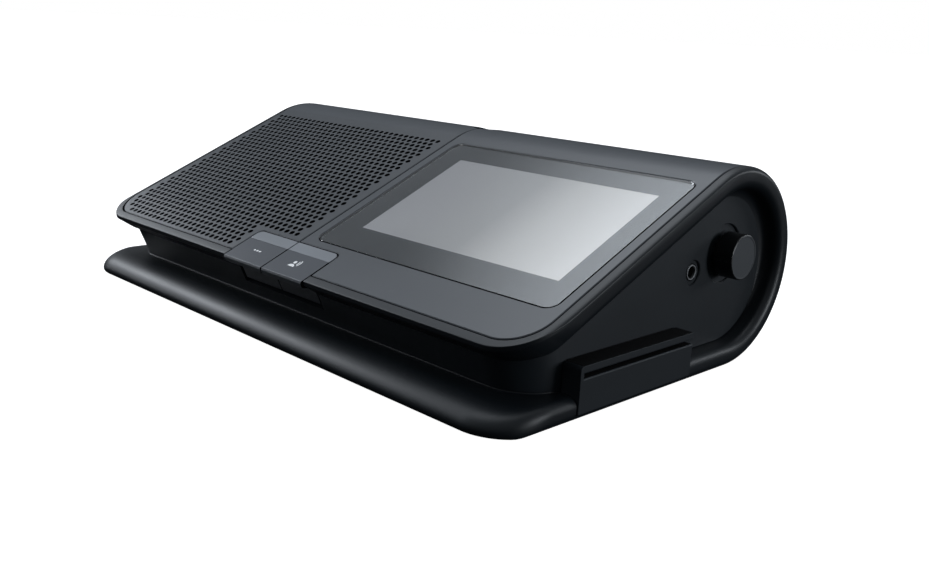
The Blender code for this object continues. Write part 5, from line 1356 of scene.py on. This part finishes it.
cardForm = {
    "corner": 1.6 * mm,
    "slotDrop": 2.6 * mm,
    "slotHeight": 1.5 * mm,
    "slotEnd": 1.6 * mm,
    "slotEdge": 0.35 * mm,
    "edge": 0.2 * mm,
    "upShare": 0.95,  # faces turned this far up get painted shade
}


def makeCardSlot():
    c = cardForm
    low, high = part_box("card_slot_bezel")
    outline = [(low.y, low.z), (high.y, low.z), (high.y, high.z)]
    outline += arcPoints(low.y + c["corner"], high.z - c["corner"], c["corner"], c["corner"], math.pi / 2, math.pi,
                         12)
    bezel = prism("cardSlotBlock", outline, low.x, high.x, fromSide, "housingPlastic")
    half = c["slotHeight"] / 2
    flare = c["slotEdge"]
    # the mouth runs out through the rear end, as it does on the real one
    slotZ = high.z - c["slotDrop"] - half
    upper = [(high.x + flare, half + 2 * flare), (high.x - flare, half), (low.x - over, half)]
    mouth = [(x, slotZ - rise) for x, rise in reversed(upper)] + [(x, slotZ + rise) for x, rise in upper]
    cutWith(bezel, [cutter(mouth, low.y + c["slotEnd"], high.y + over, fromBehind)])
    softenEdges(bezel, c["edge"])
    # the block's top is painted with shade
    paintFaces(bezel, "seamShadow", lambda face: face.normal.z > c["upShare"])
    seat(bezel, "housing", "card_slot_bezel")


makeCardSlot()
print("card slot is cut")


socketForm = {
    "y": micForm["y"],
    "top": 70.7 * mm,
    "radius": 7.0 * mm,
    "flange": 2.2 * mm,
    "body": 6.2 * mm,
    "bore": 4.9 * mm,
    "boreDepth": 13 * mm,
    "length": 16.5 * mm,
    "edge": 0.5 * mm,
    "threadStart": 2.2 * mm,
    "threadPitch": 1.3 * mm,
    "threadWidth": 0.7 * mm,
    "threadDepth": 0.28 * mm,
    "threads": 5,
    "insert": 3.5 * mm,
    "insertEdge": 0.2 * mm,
    "pinRadius": 0.5 * mm,
    "pinRing": 2.5 * mm,
    "pinLength": 3 * mm,
    "pinRoot": 0.5 * mm,
    "pinEdge": 0.16 * mm,
    "pins": 5,
}


def makeMicSocket():
    s = socketForm
    radius, bore, edge = s["radius"], s["bore"], s["edge"]
    profile = [(0, -s["length"]), (s["body"], -s["length"]), (s["body"], -s["flange"]), (radius, -s["flange"])]
    profile += arcPoints(radius - edge, -edge, edge, edge, 0, math.pi / 2, 5)
    profile += arcPoints(bore + edge, -edge, edge, edge, math.pi / 2, math.pi, 5)
    for i in range(s["threads"]):
        z = -s["threadStart"] - i * s["threadPitch"]
        profile += [(bore, z), (bore - s["threadDepth"], z - s["threadWidth"] / 2), (bore, z - s["threadWidth"])]
    profile += [(bore, -s["boreDepth"]), (0, -s["boreDepth"])]
    socket = turnedPiece("microphoneSocket", profile, (0, s["y"], s["top"]), (0, 0, 1), "socketPlastic", 96, 28)
    seat(socket, "inner_plastic", "microphone_socket")
    low = s["top"] - s["boreDepth"] + gap
    top = low + s["insert"]
    disc = prism("socketInsert", circlePoints(0, s["y"], bore - gap, 64), low, top, fromAbove, "innerPlastic")
    softenEdges(disc, s["insertEdge"])
    seat(disc, "inner_plastic", "socket_insert")
    spots = circlePoints(0, s["y"], s["pinRing"], s["pins"])
    pins = joinShapes("socketPins", [circlePoints(x, y, s["pinRadius"], 20) for x, y in spots], top - s["pinRoot"],
                      top + s["pinLength"], fromAbove, "contactBrass")
    softenEdges(pins, s["pinEdge"])
    seat(pins, "contact_brass", "socket_insert")


releaseForm = {"dish": 0.35 * mm, "dishRise": 0.3 * mm, "dishShare": 0.72, "edge": 0.45 * mm}


def makeRelease():
    r = releaseForm
    low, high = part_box("mic_release_button")
    radius = (high.x - low.x) / 2
    length = high.y - low.y
    profile = [(radius * r["dishShare"] * i / 5, -r["dish"] + r["dishRise"] * (i / 5) ** 2) for i in range(6)]
    profile += arcPoints(radius - r["edge"], -r["edge"], r["edge"], r["edge"], math.pi / 2, 0, 5)
    profile += [(radius, -length), (0, -length)]
    button = turnedPiece("micReleaseButton", profile, (0, high.y, (low.z + high.z) / 2), (0, 1, 0),
                         "buttonPlastic", 48, 40)
    seat(button, "button", "mic_release_button", body="mic_release")


makeMicSocket()
makeRelease()
print("microphone socket is in")


# node: (piece, finish, edge)
refined = {
    "connector_bay": ("connectorBay", "innerPlastic", 0.12 * mm),
    "bottom_cover": ("bottomCover", "housingPlastic", 0.25 * mm),
}
refineForm = {"merge": 1e-6, "flatAngle": 0.6}


def refineNode(node, name, finish, width):
    # a copy of a CAD solid with its flat faces cleaned and its edges softened
    mesh = nodes[node].data.copy()
    mesh.name = name
    work = bmesh.new()
    work.from_mesh(mesh)
    bmesh.ops.remove_doubles(work, verts=work.verts, dist=refineForm["merge"])
    bmesh.ops.dissolve_limit(work, angle_limit=math.radians(refineForm["flatAngle"]), verts=work.verts,
                             edges=work.edges)
    bmesh.ops.recalc_face_normals(work, faces=work.faces)
    work.to_mesh(mesh)
    work.free()
    mesh.materials.clear()
    mesh.materials.append(finishes[finish])
    shadeMesh(mesh)
    piece = placeMesh(name, mesh)
    softenEdges(piece, width)
    seat(piece, slotOfNode[node], node, body=bodyOfNode[node])


socketDetail = {
    "mouthWidth": 12 * mm,
    "mouthHeight": 8.5 * mm,
    "mouthRise": 1.8 * mm,
    "mouthDepth": 12.5 * mm,
    "keyWidth": 6.2 * mm,
    "keyHeight": 1.5 * mm,
    "edge": 0.15 * mm,
    "lipDepth": 0.5 * mm,  # the mouth is dark further in than this
    "contacts": 8,
    "contactPitch": 1.02 * mm,
    "contactWidth": 0.35 * mm,
    "contactRise": (0.5 * mm, 2.4 * mm),
    "contactDepth": (9 * mm, 3.2 * mm),
    "lampReach": 5.6 * mm,
    "lampRise": 0.7 * mm,
    "lampWidth": 2.6 * mm,
    "lampHeight": 1.3 * mm,
    "lampSink": 0.5 * mm,
    "lampProud": 0.04 * mm,
}


def makeNetworkSocket(number):
    n = socketDetail
    node = "network_socket_%d" % number
    low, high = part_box(node)
    x = (low.x + high.x) / 2
    face = high.y
    body = prism("networkSocket%d" % number, boxPoints(low.x, high.x, low.z, high.z), low.y, face, fromBehind,
                 "zincSteel")
    bottom = low.z + n["mouthRise"]
    half = n["mouthWidth"] / 2
    key = n["keyWidth"] / 2
    roof = bottom + n["mouthHeight"]
    shoulder = roof - n["keyHeight"]
    outline = [(x - half, bottom), (x + half, bottom), (x + half, shoulder), (x + key, shoulder), (x + key, roof),
               (x - key, roof), (x - key, shoulder), (x - half, shoulder)]
    cutWith(body, [cutter(outline, face - n["mouthDepth"], face + over, fromBehind)])
    paintFaces(body, "innerPlastic", lambda wall: abs(wall.center.x - x) < half + gap
               and bottom - gap < wall.center.z < roof + gap and face - wall.center.y > n["lipDepth"])
    softenEdges(body, n["edge"])
    seat(body, "zinc_steel", node)
    strips = []
    for i in range(n["contacts"]):
        a = x + (i - (n["contacts"] - 1) / 2) * n["contactPitch"]
        strips.append(boxPoints(a - n["contactWidth"] / 2, a + n["contactWidth"] / 2,
                                *(bottom + rise for rise in n["contactRise"])))
    contacts = joinShapes("networkContacts%d" % number, strips, *(face - depth for depth in n["contactDepth"]),
                          fromBehind, "contactBrass")
    seat(contacts, "contact_brass", node)
    lampLow = roof + n["lampRise"]
    lamps = [boxPoints(x + side * n["lampReach"] - n["lampWidth"] / 2, x + side * n["lampReach"] + n["lampWidth"] / 2,
                       lampLow, lampLow + n["lampHeight"]) for side in (-1, 1)]
    lamp = joinShapes("networkLamps%d" % number, lamps, face - n["lampSink"], face + n["lampProud"],
                      fromBehind, "lampLens")
    seat(lamp, "light_bar", node)


screwForm = {"radius": 2.1 * mm, "height": 1.1 * mm, "shank": 1 * mm, "dome": 0.4 * mm, "crossLength": 2.4 * mm,
             "crossWidth": 0.5 * mm, "crossDepth": 0.75 * mm}


def makeCoverScrew(number):
    s = screwForm
    node = "cover_screw_%d" % number
    low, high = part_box(node)
    x = (low.x + high.x) / 2
    y = (low.y + high.y) / 2
    top = high.z - low.z - s["height"]
    profile = [(0, -s["height"])]
    profile += [(s["radius"] * math.sin(t), -s["height"] + s["dome"] * (1 - math.cos(t)))
                for t in spread(0, math.pi / 2, 7)[1:]]
    profile += [(s["radius"], 0), (s["shank"], 0), (s["shank"], top), (0, top)]
    screw = turnedPiece("coverScrew%d" % number, profile, (x, y, low.z + s["height"]), (0, 0, 1), "zincSteel", 40)
    halfLong, halfWide = s["crossLength"] / 2, s["crossWidth"] / 2
    cutWith(screw, [cutter(boxPoints(x - a, x + a, y - b, y + b), low.z - over, low.z + s["crossDepth"], fromAbove)
                    for a, b in ((halfLong, halfWide), (halfWide, halfLong))])
    seat(screw, "zinc_steel", node)


footForm = {
    "radius": 3.9 * mm,
    "edge": 0.12 * mm,
    "grooves": 4,
    "groovePitch": 1.5 * mm,
    "grooveWidth": 0.5 * mm,
    "grooveRound": 0.24 * mm,
    "grooveDepth": 0.18 * mm,
    "grooveMargin": 8 * mm,
}


def makeFoot(word):
    f = footForm
    node = "rubber_foot_" + word
    low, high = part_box(node)
    y = (low.y + high.y) / 2
    width = high.x - low.x
    foot = prism(word + "Foot", roundedBox(0, y, width, high.y - low.y, f["radius"], 10), low.z, high.z, fromAbove,
                 "footRubber")
    grooves = []
    for i in range(f["grooves"]):
        grooveY = y + (i - (f["grooves"] - 1) / 2) * f["groovePitch"]
        grooves.append(cutter(roundedBox(0, grooveY, width - f["grooveMargin"], f["grooveWidth"], f["grooveRound"],
                                         3), low.z - over, low.z + f["grooveDepth"], fromAbove))
    cutWith(foot, grooves)
    softenEdges(foot, f["edge"])
    seat(foot, "rubber", node)


for number in (1, 2):
    makeNetworkSocket(number)
for number in (1, 2, 3, 4):
    makeCoverScrew(number)
for word in ("front", "back"):
    makeFoot(word)
for node, (name, finish, width) in refined.items():
    refineNode(node, name, finish, width)
print("rear sockets, cover and feet are fitted")


finishOfSlot = {
    "shell": "shellPlastic", "housing": "housingPlastic", "panel": "panelPaint", "button": "buttonPlastic",
    "light_bar": "lightPipe", "glass": "borderPrint", "inner_plastic": "innerPlastic", "zinc_steel": "zincSteel",
    "nickel": "nickelPlate", "contact_brass": "contactBrass", "cloth": "grilleCloth", "foam": "gasketFoam",
    "cone_paper": "conePaper", "ferrite": "magnetFerrite", "circuit": "solderMask", "film": "ribbonFilm",
    "rubber": "footRubber", "knob": "knobPlastic",
}
for node, piece in nodes.items():
    finish = finishes[finishOfSlot[slotOfNode[node]]]
    if not piece.material_slots:
        piece.data.materials.append(finish)
    for place in piece.material_slots:
        place.material = finish
print("kept solids have their finishes")
